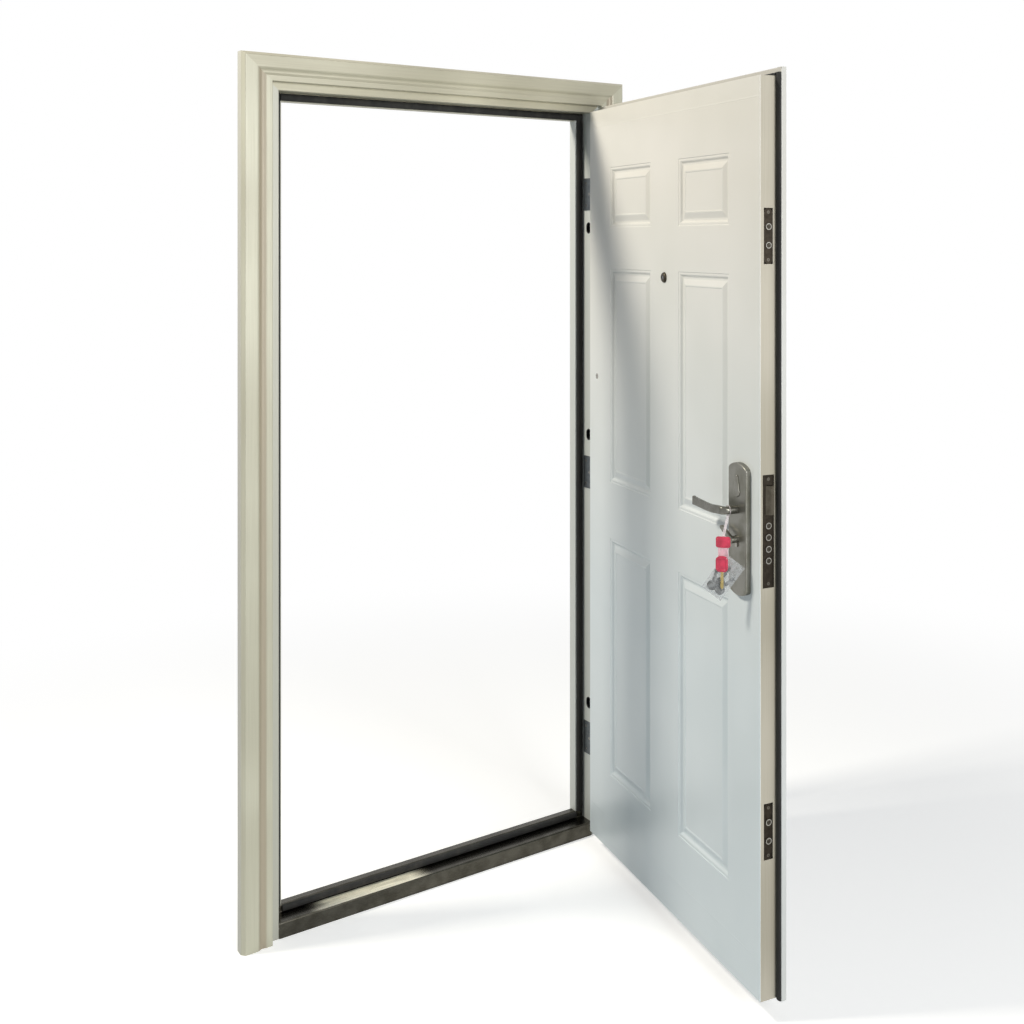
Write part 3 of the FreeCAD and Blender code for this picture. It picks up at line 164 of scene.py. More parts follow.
# The depth over which the trim's colour gives way to the tone painted behind its face, which
# stands for light and shade: greyer shade on the lock jamb, light from the leaf on the hinge
# jamb.
PAINTED_BEHIND_TRIM_DEPTHS = (-0.043, -0.036)
# The heights between which the leaf's white turns from cool to warm: painted light, for the
# cool light near the floor and the warm light above.
PAINTED_COOL_LIGHT_BELOW = 0.7
PAINTED_WARM_LIGHT_ABOVE = 1.8
FOLD_REACH = 2.5 * MM


def pearl_enamel(name, along, light, dark, cove_shade=None, inner=None):
    """Stoved pearl enamel on rolled sheet steel: a satin champagne that drifts between cream and
    grey-green, with faint streaks along the rolling and a fine orange peel. A browner tone in the
    trim's cove is painted shade; behind the trim's face a given tone is painted light and shade."""
    material, tree, shader, place = finish_of(name, light, roughness=0.42, metallic=0.12,
                                              Coat_Weight=0.12, Coat_Roughness=0.3)
    run = [90 if axis == along else 1 for axis in "XYZ"]
    streaks = grain(tree, place, size_mm=2.5, stretch=run)
    drift = grain(tree, place, size_mm=260, detail=1.0)
    mixed = weighed(tree, drift, streaks, share=0.35)
    tint = spread(tree, mixed, low=0.0, high=1.0, start=0.5, end=0.85)
    coat = blend_colours(tree, tint, light, dark)
    axes = add(tree, "SeparateXYZ", {0: place}).outputs
    # A browner tone painted across the trim's cove: painted shade.
    if cove_shade:
        across = add(tree, "Math", {0: axes["X"]}, operation="ABSOLUTE").outputs[0]
        coat = blend_colours(tree, near(tree, across, *PAINTED_COVE_SHADE), coat, cove_shade)
    # Behind the trim's face a given tone is painted in: painted light and shade.
    if inner:
        depth = add(tree, "MapRange", {"Value": axes["Y"], "From Min": PAINTED_BEHIND_TRIM_DEPTHS[0],
                                       "From Max": PAINTED_BEHIND_TRIM_DEPTHS[1]})
        coat = blend_colours(tree, depth.outputs["Result"], coat, inner)
    tree.links.new(coat, shader.inputs["Base Color"])
    tree.links.new(spread(tree, streaks, low=0.36, high=0.48), shader.inputs["Roughness"])
    peel = grain(tree, place, size_mm=1.8)
    relief(tree, shader, weighed(tree, peel, streaks, share=0.6), depth_mm=0.03)
    return material


def white_enamel(name, cool_lit_coat, warm_lit_coat, folds=()):
    """Stoved white enamel on a pressed sheet: satin, with painted light that turns it from cool
    near the floor to warm above, the sheet's broad slack waves under it and faint cross folds at
    the given heights. Each coat is a pair of colours that it drifts between."""
    material, tree, shader, place = finish_of(name, cool_lit_coat[0], roughness=0.36, Coat_Weight=0.15,
                                              Coat_Roughness=0.2)
    drift = spread(tree, grain(tree, place, size_mm=320), low=0, high=1)
    upright = add(tree, "SeparateXYZ", {0: place}).outputs["Z"]
    # The turn from cool to warm with height is painted light.
    painted_light_tint = add(tree, "MapRange", {"Value": upright, "From Min": PAINTED_COOL_LIGHT_BELOW,
                                    "From Max": PAINTED_WARM_LIGHT_ABOVE}).outputs["Result"]
    coats = [blend_colours(tree, drift, *coat) for coat in (cool_lit_coat, warm_lit_coat)]
    tree.links.new(blend_colours(tree, painted_light_tint, *coats), shader.inputs["Base Color"])
    smears = grain(tree, place, size_mm=45, stretch=(1, 1, 3), detail=3.0)
    tree.links.new(spread(tree, smears, low=0.31, high=0.41), shader.inputs["Roughness"])
    peel = grain(tree, place, size_mm=2.0)
    waves = grain(tree, place, size_mm=180, stretch=(1, 1, 1.6), detail=0.0)
    height = weighed(tree, peel, waves, share=22.0)
    for fold in folds:
        height = weighed(tree, height, near(tree, upright, fold, FOLD_REACH), share=8.0)
    relief(tree, shader, height, depth_mm=0.03)
    return material


def brushed_steel(name, colour, dull, along, roughness, line_mm=0.9, reach=120, cut=0.02):
    """Metal brushed in one direction: reflections are drawn out across its fine lines, which are
    coarser than real ones so that they show. Stains take it to a duller colour in places."""
    material, tree, shader, place = finish_of(name, colour, roughness, metallic=1.0)
    run = [reach if axis == along else 1 for axis in "XYZ"]
    lines = grain(tree, place, line_mm, stretch=run, detail=3.0)
    stains = grain(tree, place, size_mm=35, detail=4.0)
    stained = spread(tree, stains, low=0, high=1, start=0.4, end=0.65)
    tree.links.new(blend_colours(tree, stained, colour, dull), shader.inputs["Base Color"])
    sheen = weighed(tree, lines, stains, share=0.4)
    tree.links.new(spread(tree, sheen, low=roughness - 0.07, high=roughness + 0.1,
                          start=0.4, end=1.0), shader.inputs["Roughness"])
    relief(tree, shader, lines, depth_mm=cut)
    return material


def threshold_stainless(name):
    """Stainless cover, brushed along its length; its dark colour is a painted reflection of dark
    surroundings. On the tread, near the lock side, a cream streak is a painted reflection."""
    # The dark colours stand for the dark surroundings that the steel reflects: painted
    # reflection.
    material = brushed_steel(name, "53514A", "43413A", along="X", roughness=0.24, cut=0.006)
    tree = material.node_tree
    shader = tree.nodes["Principled BSDF"]
    place = tree.nodes["Texture Coordinate"].outputs["Object"]
    axes = add(tree, "SeparateXYZ", {0: place}).outputs
    lengthwise = near(tree, axes["X"], *PAINTED_REFLECTION_LENGTH)
    crosswise = near(tree, axes["Y"], *PAINTED_REFLECTION_WIDTH)
    streak_breakup_noise = grain(tree, place, size_mm=9, stretch=(6, 1, 1), detail=3.0)
    streak_breakup = spread(tree, streak_breakup_noise, low=0.8, high=1.0)
    strip = add(tree, "Math", {0: lengthwise, 1: crosswise}, operation="MULTIPLY").outputs[0]
    # The cream streak's mask: a painted reflection, broken up at its ends.
    rubbed = add(tree, "Math", {0: strip, 1: streak_breakup}, operation="MULTIPLY").outputs[0]
    # The dark base colour from above: painted reflection of dark surroundings.
    dark_reflection_colour = shader.inputs["Base Color"].links[0].from_socket
    tree.links.new(blend_colours(tree, rubbed, dark_reflection_colour, "FFFAE2"), shader.inputs["Base Color"])
    # Within the painted reflection the steel is made non-metallic, so that the cream shows.
    reflection_metallic = add(tree, "MapRange", {"Value": rubbed, "To Min": 1.0, "To Max": 0.1})
    tree.links.new(reflection_metallic.outputs["Result"], shader.inputs["Metallic"])
    return material


def plated_steel(name, colour, dull, roughness):
    """Barrel-plated steel: even and slightly clouded, with rubbed patches."""
    material, tree, shader, place = finish_of(name, colour, roughness, metallic=1.0)
    clouds = grain(tree, place, size_mm=9, detail=4.0)
    tree.links.new(blend_colours(tree, spread(tree, clouds, low=0, high=1), colour, dull),
                   shader.inputs["Base Color"])
    tree.links.new(spread(tree, clouds, low=roughness - 0.06, high=roughness + 0.08),
                   shader.inputs["Roughness"])
    relief(tree, shader, grain(tree, place, size_mm=1.2), depth_mm=0.015)
    return material


def foam_seal(name):
    """Self-skinned black foam rubber: dull, with a pebbled skin."""
    material, tree, shader, place = finish_of(name, "191918", roughness=0.85)
    dust = grain(tree, place, size_mm=30, stretch=(1, 1, 4), detail=4.0)
    dusty = spread(tree, dust, low=0, high=1, start=0.45, end=0.8)
    tree.links.new(blend_colours(tree, dusty, "191918", "33322E"), shader.inputs["Base Color"])
    relief(tree, shader, grain(tree, place, size_mm=1.1, detail=4.0), depth_mm=0.25)
    return material


def moulded_plastic(name, colour, roughness):
    """Injection-moulded plastic with an even sheen and a fine sparked grain."""
    material, tree, shader, place = finish_of(name, colour, roughness)
    grit = grain(tree, place, size_mm=0.8, detail=3.0)
    tree.links.new(spread(tree, grit, low=roughness - 0.05, high=roughness + 0.07),
                   shader.inputs["Roughness"])
    relief(tree, shader, grit, depth_mm=0.03)
    return material


def core_board(name):
    """Kraft paper honeycomb, dull brown with a fibrous mottle."""
    material, tree, shader, place = finish_of(name, "B49B70", roughness=0.9)
    fibres = grain(tree, place, size_mm=3, stretch=(1, 1, 6), detail=5.0)
    tree.links.new(blend_colours(tree, spread(tree, fibres, low=0, high=1), "B49B70", "9A8159"),
                   shader.inputs["Base Color"])
    relief(tree, shader, fibres, depth_mm=0.2)
    return material


def red_plastic(name):
    """Glossy red moulded plastic, a little see-through, brighter where it is thin."""
    material, tree, shader, place = finish_of(name, "D42E50", roughness=0.22, Coat_Weight=0.4,
                                              Coat_Roughness=0.08, Subsurface_Weight=0.1)
    shader.inputs["Subsurface Radius"].default_value = (4 * MM, 1 * MM, 1 * MM)
    clouds = grain(tree, place, size_mm=14)
    tree.links.new(blend_colours(tree, spread(tree, clouds, low=0, high=1), "D42E50", "B01C3C"),
                   shader.inputs["Base Color"])
    relief(tree, shader, grain(tree, place, size_mm=3), depth_mm=0.05)
    return material


def clear_film(name, colour, alpha, crease_mm=9.0):
    """Creased clear film: mostly see-through, milky where it is folded, with sharp glints."""
    material, tree, shader, place = finish_of(name, colour, roughness=0.12, Coat_Weight=0.5,
                                              Coat_Roughness=0.05)
    creases = grain(tree, place, crease_mm, detail=3.0)
    tree.links.new(spread(tree, creases, low=alpha - 0.18, high=alpha + 0.2),
                   shader.inputs["Alpha"])
    relief(tree, shader, creases, depth_mm=1.2)
    return material


def lens_glass(name):
    """Clear optical glass, dark in the middle with bright reflections: its dark base colour is
    painted shade, for the dark viewer tube behind the glass.
    """
    material, tree, shader, place = finish_of(name, "30353A", roughness=0.03, Coat_Weight=1.0,
                                              Coat_Roughness=0.02)
    relief(tree, shader, grain(tree, place, size_mm=4), depth_mm=0.01)
    return material


def dress(node, material):
    """Give a CAD node its finish."""
    data = nodes[node].data
    data.materials.clear()
    data.materials.append(material)


# The jamb finishes are lit and shaded copies of one enamel. Behind the trim's face the lock jamb
# is painted greyer, as shade, and the hinge jamb whiter, as light thrown back from the leaf.
lock_jamb_painted_shade_enamel = pearl_enamel("pearl_enamel_lock_jamb_painted_shade", "Z", "CECBB5", "BDB9A3",
                                cove_shade="ADA28C", inner="BAB9AC")
hinge_jamb_painted_light_enamel = pearl_enamel("pearl_enamel_hinge_jamb_painted_light", "Z", "CECBB5", "BDB9A3",
                                 cove_shade="ADA28C", inner="D0D3CD")
# The head and sill take a darker copy of the jambs' enamel, which stands for the head's shade:
# painted shade.
head_painted_shade_enamel = pearl_enamel("pearl_enamel_head_painted_shade", "X", "C6C1AA", "B2AD96")
edge_enamel = pearl_enamel("pearl_enamel_leaf_edge", "Z", "B6AF9E", "A39C8A")
# Both skins are painted cool low down and warm high up: painted light.
inner_enamel = white_enamel("white_enamel_inner_skin", ("ECF4F6", "E4EDEF"), ("EBE7DE", "E3E0D6"),
                            folds=(1.980, 0.130))
outer_enamel = white_enamel("white_enamel_outer_skin", ("D3D4D0", "C9CAC5"), ("CFCDC5", "C6C3BA"))
threshold_steel = threshold_stainless("brushed_stainless_threshold")
nickel = brushed_steel("satin_nickel_furniture", "82817A", "6F6E64", along="Z", roughness=0.34,
                       line_mm=0.7, reach=30)
lever_nickel = brushed_steel("satin_nickel_lever", "72716B", "5E5D55", along="Y", roughness=0.28,
                             line_mm=0.7, reach=30)
lock_plate = plated_steel("antique_plated_steel", "3A352E", "28241F", roughness=0.36)
bright_plate = plated_steel("bright_plated_steel", "A9A7A0", "8F8C84", roughness=0.26)
screw_steel = plated_steel("antique_plated_screw", "6E6A61", "55514A", roughness=0.3)
# The bolts' end faces are painted dark: painted shade.
bolt_face_shade_steel = plated_steel("bolt_face_painted_shade", "4A463F", "36332D", roughness=0.32)
latch_plate = plated_steel("antique_plated_latch", "5C574D", "474239", roughness=0.3)
hinge_plate = plated_steel("grey_plated_steel", "6C7173", "595E61", roughness=0.42)
seal_foam = foam_seal("black_foam_seal")
black_plastic = moulded_plastic("black_moulded_plastic", "161718", roughness=0.4)
board = core_board("kraft_honeycomb")
bronze = plated_steel("bronzed_brass", "4C463B", "322E26", roughness=0.3)
tag_plastic = red_plastic("red_moulded_plastic")
film = clear_film("clear_vinyl_film", colour="C4C6C5", alpha=0.36)
pink_film = clear_film("pink_vinyl_film", colour="F2BCC6", alpha=0.6)
strap_film = clear_film("clear_vinyl_strap", colour="E6DCDD", alpha=0.5, crease_mm=5.0)
glass = lens_glass("optical_glass")
key_metal = plated_steel("nickel_plated_brass_key", "3C3D3B", "2A2B28", roughness=0.34)
gold_metal = plated_steel("yellow_brass_key", "B9A874", "9A8A58", roughness=0.28)

FINISHES = {
    lock_jamb_painted_shade_enamel: ("left_jamb",),
    hinge_jamb_painted_light_enamel: ("right_jamb",),
    head_painted_shade_enamel: ("head", "sill"),
    edge_enamel: ("hinge_edge", "lock_edge", "top_edge", "bottom_edge"),
    inner_enamel: ("inner_skin",),
    outer_enamel: ("outer_skin",),
    threshold_steel: ("threshold_cover",),
    nickel: ("inner_backplate", "outer_backplate", "thumb_turn"),
    lever_nickel: ("inner_lever", "outer_lever"),
    lock_plate: ("main_strike", "upper_strike", "lower_strike", "main_lock", "upper_lock",
                 "lower_lock"),
    bright_plate: ("dog_bolts", "main_bolts", "upper_bolts", "lower_bolts", "spindle",
                   "lock_cylinder"),
    latch_plate: ("latch_bolt",),
    hinge_plate: ("upper_hinge_frame_half", "middle_hinge_frame_half", "lower_hinge_frame_half",
                  "upper_hinge_leaf_half", "middle_hinge_leaf_half", "lower_hinge_leaf_half"),
    seal_foam: ("left_stop_seal", "right_stop_seal", "head_stop_seal", "threshold_seal",
                "hinge_lip_seal", "lock_lip_seal", "top_lip_seal"),
    black_plastic: ("dog_sockets",),
    board: ("core",),
    bronze: ("peephole",),
    strap_film: ("key_strap",),
    tag_plastic: ("key_tag",),
    film: ("key_pouch",),
}
for material, dressed in FINISHES.items():
    for node in dressed:
        dress(node, material)


# Meshes


def piece(name, bm, material, body, place=None, smooth_angle=30):
    """Turn a bmesh into a piece of the door: placed, smoothed, coloured and riding on a body."""
    if place is not None:
        bmesh.ops.transform(bm, matrix=place, verts=bm.verts)
    bmesh.ops.remove_doubles(bm, verts=bm.verts, dist=1e-6)
    bmesh.ops.recalc_face_normals(bm, faces=bm.faces)
    data = bpy.data.meshes.new(name)
    bm.to_mesh(data)
    bm.free()
    data.materials.append(material)
    item = bpy.data.objects.new(name, data)
    bpy.context.scene.collection.objects.link(item)
    for polygon in data.polygons:
        polygon.use_smooth = True
    data.set_sharp_from_angle(angle=math.radians(smooth_angle))
    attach(item, body)
    return item


def turned(profile_mm, steps=32):
    """A solid turned about Z from a profile of (radius, height) points, from axis to axis."""
    bm = bmesh.new()
    line = [bm.verts.new((radius * MM, 0, height * MM)) for radius, height in profile_mm]
    edges = [bm.edges.new(pair) for pair in zip(line, line[1:])]
    bmesh.ops.spin(bm, geom=line + edges, cent=(0, 0, 0), axis=(0, 0, 1), angle=math.tau,
                   steps=steps, use_merge=True)
    bmesh.ops.remove_doubles(bm, verts=bm.verts, dist=1e-7)
    return bm


# A screw head's shares of its radius.
RECESS_REACH = 0.62
RECESS_HALF_WIDTH = 0.1
RECESS_DEPTH = 0.4
RECESS_TAPER = 0.7
CONE_DEPTH = 0.5
CONE_TAPER = 0.55
HEAD_LIFT = 0.06


def sunk(bm, edges, taper, depth):
    """Draw a loop of edges down and inwards, and close it with a floor."""
    walls = bmesh.ops.extrude_edge_only(bm, edges=edges)["geom"]
    low = [part for part in walls if isinstance(part, bmesh.types.BMVert)]
    bmesh.ops.scale(bm, verts=low, vec=(taper, taper, 1))
    bmesh.ops.translate(bm, verts=low, vec=(0, 0, -depth))
    rim = [part for part in walls if isinstance(part, bmesh.types.BMEdge)
           and all(vertex in low for vertex in part.verts)]
    bmesh.ops.contextual_create(bm, geom=rim)


def screw_head(radius):
    """A countersunk head with a cross recess, facing up, its rim just above the origin."""
    bm = bmesh.new()
    rim = bmesh.ops.create_circle(bm, segments=24, radius=radius, cap_ends=False)["verts"]
    arm, half = radius * RECESS_REACH, radius * RECESS_HALF_WIDTH
    corners = [Vector((arm, -half, 0)), Vector((arm, half, 0)), Vector((half, half, 0))]
    cross = []
    for quarter in range(4):
        turn = Matrix.Rotation(quarter * math.pi / 2, 3, "Z")
        cross += [bm.verts.new(turn @ corner) for corner in corners]
    loop = [bm.edges.new((a, b)) for a, b in zip(cross, cross[1:] + cross[:1])]
    outer = [edge for edge in bm.edges if edge.verts[0] in rim and edge.verts[1] in rim]
    bmesh.ops.triangle_fill(bm, use_beauty=True, edges=outer + loop)
    sunk(bm, loop, RECESS_TAPER, radius * RECESS_DEPTH)
    sunk(bm, outer, CONE_TAPER, radius * CONE_DEPTH)
    bmesh.ops.translate(bm, verts=bm.verts, vec=(0, 0, radius * HEAD_LIFT))
    return bm


def joined(shape, places):
    """Copies of one bmesh at each of the places, as one bmesh."""
    template = bpy.data.meshes.new("template")
    shape.to_mesh(template)
    shape.free()
    bm = bmesh.new()
    for place in places:
        before = len(bm.verts)
        bm.from_mesh(template)
        bm.verts.ensure_lookup_table()
        bmesh.ops.transform(bm, matrix=place, verts=bm.verts[before:])
    bpy.data.meshes.remove(template)
    return bm


def facing(point, direction, twist=0.0):
    """A place at a point whose Z axis looks along a direction."""
    turn = Vector(direction).to_track_quat("Z", "Y").to_matrix().to_4x4()
    return Matrix.Translation(Vector(point)) @ turn @ Matrix.Rotation(twist, 4, "Z")


# Small fixings

SCREW_RADIUS = 3.6 * MM
END_MARGIN = 9 * MM
HINGE_SCREW_SHARES = (-0.7, 0.0, 0.7)
HINGE_SCREW_INSET = 12 * MM
HINGE_SCREW_STAGGER = 16 * MM
# Within a lock, a step in height of more than this starts the next bolt.
BOLT_SPACING = 3 * MM
TIP_PROFILE_MM = ((0, 0.3), (0.9, 0.4), (1.5, 1.0), (4.2, 1.0), (5.2, 0.3), (5.2, 0), (0, 0))
LENS_RADIUS_MM = 4.8
LENS_RISE_MM = 1.4
LENS_SUNK = 1.5 * MM
PLUG_PROFILE_MM = ((0, 2.2), (3.6, 1.8), (5.6, 0.9), (7.2, 0.6), (7.6, 0), (0, 0))
PLUG_INSET = 46 * MM
PLUG_HEIGHT = 1.301


def faceplate_screws():
    """Two countersunk screws at the ends of each lock's faceplate, each turned its own way."""
    places = []
    for lock in ("main_lock", "upper_lock", "lower_lock"):
        low, high = shut_box(lock)
        middle = (low.y + high.y) / 2
        for index, z in enumerate((low.z + END_MARGIN, high.z - END_MARGIN)):
            places.append(SWING @ facing((low.x, middle, z), (-1, 0, 0), 0.4 + index))
    piece("faceplate_screws", joined(screw_head(SCREW_RADIUS), places), screw_steel, "leaf")


def bolt_tips():
    """The end faces of the bolts: chamfered, with a turning centre in the middle, and painted
    dark as shade.
    """
    back = SWING.inverted()
    for node in ("main_bolts", "upper_bolts", "lower_bolts"):
        low, high = shut_box(node)
        levels = sorted({round((back @ vertex.co).z, 4) for vertex in nodes[node].data.vertices})
        starts = [z for before, z in zip([-1.0] + levels, levels) if z - before > BOLT_SPACING]
        radius = (high.y - low.y) / 2
        places = [SWING @ facing((low.x, low.y + radius, z + radius), (-1, 0, 0)) for z in starts]
        piece(node + "_tips", joined(turned(TIP_PROFILE_MM, steps=24), places), bolt_face_shade_steel,
              "bolts")


def strike_screws():
    """Two countersunk screws at the ends of each strike, each turned its own way."""
    places = []
    for strike in ("main_strike", "upper_strike", "lower_strike"):
        low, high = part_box(strike)
        middle = (low.y + high.y) / 2
        for index, z in enumerate((low.z + END_MARGIN, high.z - END_MARGIN)):
            places.append(facing((high.x, middle, z), (1, 0, 0), 0.9 + index))
    piece("strike_screws", joined(screw_head(SCREW_RADIUS), places), bright_plate, "frame")


def hinge_screws():
    """Three countersunk screws, staggered, through the frame half of each hinge."""
    places = []
    for hinge in ("upper", "middle", "lower"):
        low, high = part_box(hinge + "_hinge_frame_half")
        half = (high.z - low.z) / 2
        for index, share in enumerate(HINGE_SCREW_SHARES):
            y = high.y - HINGE_SCREW_INSET - HINGE_SCREW_STAGGER * (index % 2)
            z = (low.z + high.z) / 2 + share * half
            places.append(facing((low.x, y, z), (-1, 0, 0), 0.3 + index))
    piece("hinge_screws", joined(screw_head(SCREW_RADIUS), places), bright_plate, "frame")


def peephole_lenses():
    """The viewer's glass: a small dome sunk in the inner flange and one on the outer face."""
    low, high = shut_box("peephole")
    middle = (low + high) / 2
    arc = [math.radians(angle) for angle in (72, 54, 36, 18, 0)]
    dome = [(LENS_RADIUS_MM * math.cos(a), LENS_RISE_MM * math.sin(a)) for a in arc]
    for name, y, out in (("inner_lens", high.y - LENS_SUNK, 1), ("outer_lens", low.y, -1)):
        bm = turned([(0, LENS_RISE_MM)] + dome + [(0, 0)], steps=40)
        piece(name, bm, glass, "leaf",
              place=SWING @ facing((middle.x, y, middle.z), (0, out, 0)))


def blanking_plug():
    """The small domed plug in the inner skin near the hinge side."""
    high = shut_box("inner_skin")[1]
    piece("blanking_plug", turned(PLUG_PROFILE_MM), bright_plate, "leaf",
          place=SWING @ facing((high.x - PLUG_INSET, high.y, PLUG_HEIGHT), (0, 1, 0)))


# Key set

FLAP_DROP = 9 * MM
# The hanging key's head lies below the tag's edge, a little towards the hinges, and clear of the
# pouch.
KEY_DROP = 34 * MM
KEY_ASIDE = 2 * MM
KEY_STAND_OFF = 3.5 * MM
FILM_WALL = 0.3 * MM
POUCH_WELD = 3 * MM
POUCH_SHOULDER = 9 * MM
# The share of the pouch's swell that its creases take away or leave.
CREASE_SHARE = 0.28


def slab_place(node):
    """A place at a block's middle: Z out of its broad face, X down its long side. Also the
    block's length, width and thickness."""
    corners = []
    for vertex in nodes[node].data.vertices:
        if all((vertex.co - corner).length > 1e-5 for corner in corners):
            corners.append(vertex.co.copy())
    start = corners[0]
    others = sorted(corners[1:], key=lambda corner: (corner - start).length)
    thin, wide, tall = others[0] - start, others[1] - start, others[3] - start
    middle = sum(corners, Vector()) / len(corners)
    out = thin.normalized() * (1 if thin.x < 0 else -1)
    down = tall.normalized() * (1 if tall.z < 0 else -1)
    place = Matrix.Identity(4)
    for column, axis in enumerate((down, out.cross(down), out)):
        place.col[column][:3] = axis
    place.translation = middle
    return place, (tall.length, wide.length, thin.length)


def rounded_tab(length, width, thickness, corner, bevel):
    """A flat tab with rounded corners and eased edges, lying in the XY plane."""
    bm = bmesh.new()
    bmesh.ops.create_grid(bm, x_segments=1, y_segments=1, size=0.5)
    bmesh.ops.scale(bm, verts=bm.verts, vec=(length, width, 1))
    bmesh.ops.bevel(bm, geom=list(bm.verts), offset=corner, segments=6, profile=0.5,
                    affect="VERTICES", material=-1)
    bmesh.ops.solidify(bm, geom=list(bm.faces), thickness=thickness)
    middle = sum((vertex.co.z for vertex in bm.verts)) / len(bm.verts)
    bmesh.ops.translate(bm, verts=bm.verts, vec=(0, 0, -middle))
    rims = [edge for edge in bm.edges if edge.is_manifold and edge.calc_face_angle() > 1.2]
    bmesh.ops.bevel(bm, geom=rims, offset=bevel, segments=3, profile=0.5, affect="EDGES",
                    material=-1)
    return bm


def key_tag():
    """The red band above the pouch: a moulded tab with a raised field."""
    place, (length, width, thickness) = slab_place("key_tag")
    bm = rounded_tab(length, width, thickness, corner=5 * MM, bevel=0.9 * MM)
    face = max(bm.faces, key=lambda f: f.calc_center_median().z)
    bmesh.ops.inset_individual(bm, faces=[face], thickness=2.5 * MM)
    bmesh.ops.inset_individual(bm, faces=[face], thickness=0.6 * MM, depth=0.5 * MM)
    tag = piece("red_key_tag", bm, tag_plastic, "leaf", place=place)
    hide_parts("key_tag")


def tag_flap():
    """A pale pink film flap that hangs from the tag down to the key's head."""
    place, tag_size = slab_place("key_tag")
    bm = rounded_tab(length=22 * MM, width=26 * MM, thickness=0.5 * MM, corner=2 * MM,
                     bevel=0.1 * MM)
    long_edges = [edge for edge in bm.edges if edge.calc_length() > 12 * MM]
    bmesh.ops.subdivide_edges(bm, edges=long_edges, cuts=6, use_grid_fill=True)
    drop = tag_size[1] / 2 + FLAP_DROP
    piece("tag_flap", bm, pink_film, "leaf",
          place=Matrix.Translation((0, 0, -drop)) @ place)


def key_shape(bow_radius, blade_length, blade_width, thickness):
    """A flat key, bow at the origin and blade along X, with cuts of three depths along one
    side."""
    bm = bmesh.new()
    bmesh.ops.create_circle(bm, segments=28, radius=bow_radius, cap_ends=True)
    start = bow_radius * 0.9
    teeth = 6
    pitch = blade_length / (teeth + 1)
    outline = [(start, blade_width / 2), (start + blade_length, blade_width / 2)]
    outline.append((start + blade_length + blade_width / 2, 0))
    for index in range(teeth, 0, -1):
        x = start + index * pitch
        cut = blade_width * (0.18 + 0.22 * ((index * 5) % 3) / 2)
        outline += [(x + pitch / 3, -blade_width / 2), (x, -blade_width / 2 + cut)]
    outline.append((start, -blade_width / 2))
    bm.faces.new([bm.verts.new((x, y, 0)) for x, y in outline])
    bmesh.ops.solidify(bm, geom=list(bm.faces), thickness=thickness)
    return bm


def hanging_key():
    """The key in front of the pouch: a red moulded head and a plain brass blade, hanging down."""
    pouch_place, pouch_size = slab_place("key_pouch")
    tag_place, tag_size = slab_place("key_tag")
    out = pouch_place.to_3x3() @ Vector((0, 0, 1))
    down = Vector((0, 0, -1))
    across = out.cross(down)
    drop = tag_size[1] / 2 + KEY_DROP
    hang = Matrix.Identity(4)
    for column, axis in enumerate((down, across, out)):
        hang.col[column][:3] = axis
    hang.translation = (tag_place.translation + down * drop - across * KEY_ASIDE
                        + out * (pouch_size[2] / 2 + KEY_STAND_OFF))
    head = rounded_tab(length=34 * MM, width=27 * MM, thickness=6 * MM, corner=9 * MM,
                       bevel=1.6 * MM)
    face = max(head.faces, key=lambda f: f.calc_center_median().z)
    bmesh.ops.inset_individual(head, faces=[face], thickness=3 * MM)
    bmesh.ops.inset_individual(head, faces=[face], thickness=1 * MM, depth=-0.9 * MM)
    piece("red_key_head", head, tag_plastic, "leaf", place=hang)
    blade = key_shape(bow_radius=5 * MM, blade_length=34 * MM, blade_width=7.5 * MM,
                      thickness=1.8 * MM)
    bmesh.ops.translate(blade, verts=blade.verts, vec=(12 * MM, 0, 0.9 * MM))
    piece("red_key_blade", blade, gold_metal, "leaf", place=hang)


def key_pouch():
    """A flat bag of clear film, welded round its rim and swollen by the keys inside."""
    place, (length, width, thickness) = slab_place("key_pouch")
    bm = bmesh.new()
    bmesh.ops.create_grid(bm, x_segments=36, y_segments=22, size=0.5)
    bmesh.ops.scale(bm, verts=bm.verts, vec=(length, width, 1))
    swell = thickness / 2 - FILM_WALL

    def rise(point):
        """Half the bag's thickness at a point: creased in waves about 25 to 30 mm long, and
        fuller at the low end, where the keys lie."""
        inset = min(length / 2 - abs(point.x), width / 2 - abs(point.y)) - POUCH_WELD
        body = min(1.0, max(0.0, inset / POUCH_SHOULDER))
        wave = math.sin(point.x * 210 + point.y * 90) * math.sin(point.y * 260)
        crease = 1 - CREASE_SHARE + CREASE_SHARE * wave
        fuller = 0.55 + 0.45 * min(1.0, max(0.0, (point.x + length / 4) / (length / 2)))
        return 0.25 * MM + swell * math.sqrt(body) * crease * fuller

    back = bmesh.ops.duplicate(bm, geom=list(bm.verts) + list(bm.edges) + list(bm.faces))
    rear = {part for part in back["geom"] if isinstance(part, bmesh.types.BMVert)}
    for vertex in bm.verts:
        vertex.co.z = rise(vertex.co) * (-1 if vertex in rear else 1)
    rims = [edge for edge in bm.edges if edge.is_boundary]
    bmesh.ops.bridge_loops(bm, edges=rims)
    bag = piece("clear_key_pouch", bm, film, "leaf", place=place, smooth_angle=60)
    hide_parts("key_pouch")

    # Each key's bow: millimetres down the bag, across it and out of its middle, and its turn.
    rows = (("pouch_key_one", (27, 10, -1.5), -0.25),
            ("pouch_key_two", (29, -9, 0.3), 0.30),
            ("pouch_key_three", (14, 1, -0.6), 0.05))
    for name, bow, turn in rows:
        key = key_shape(bow_radius=11 * MM, blade_length=30 * MM, blade_width=8 * MM,
                        thickness=1.2 * MM)
        settled = (place @ Matrix.Translation(Vector(bow) * MM)
                   @ Matrix.Rotation(math.pi + turn, 4, "Z"))
        piece(name, key, key_metal, "leaf", place=settled)


faceplate_screws()
bolt_tips()
strike_screws()
hinge_screws()
peephole_lenses()
blanking_plug()
key_tag()
tag_flap()
hanging_key()
key_pouch()


# Studio

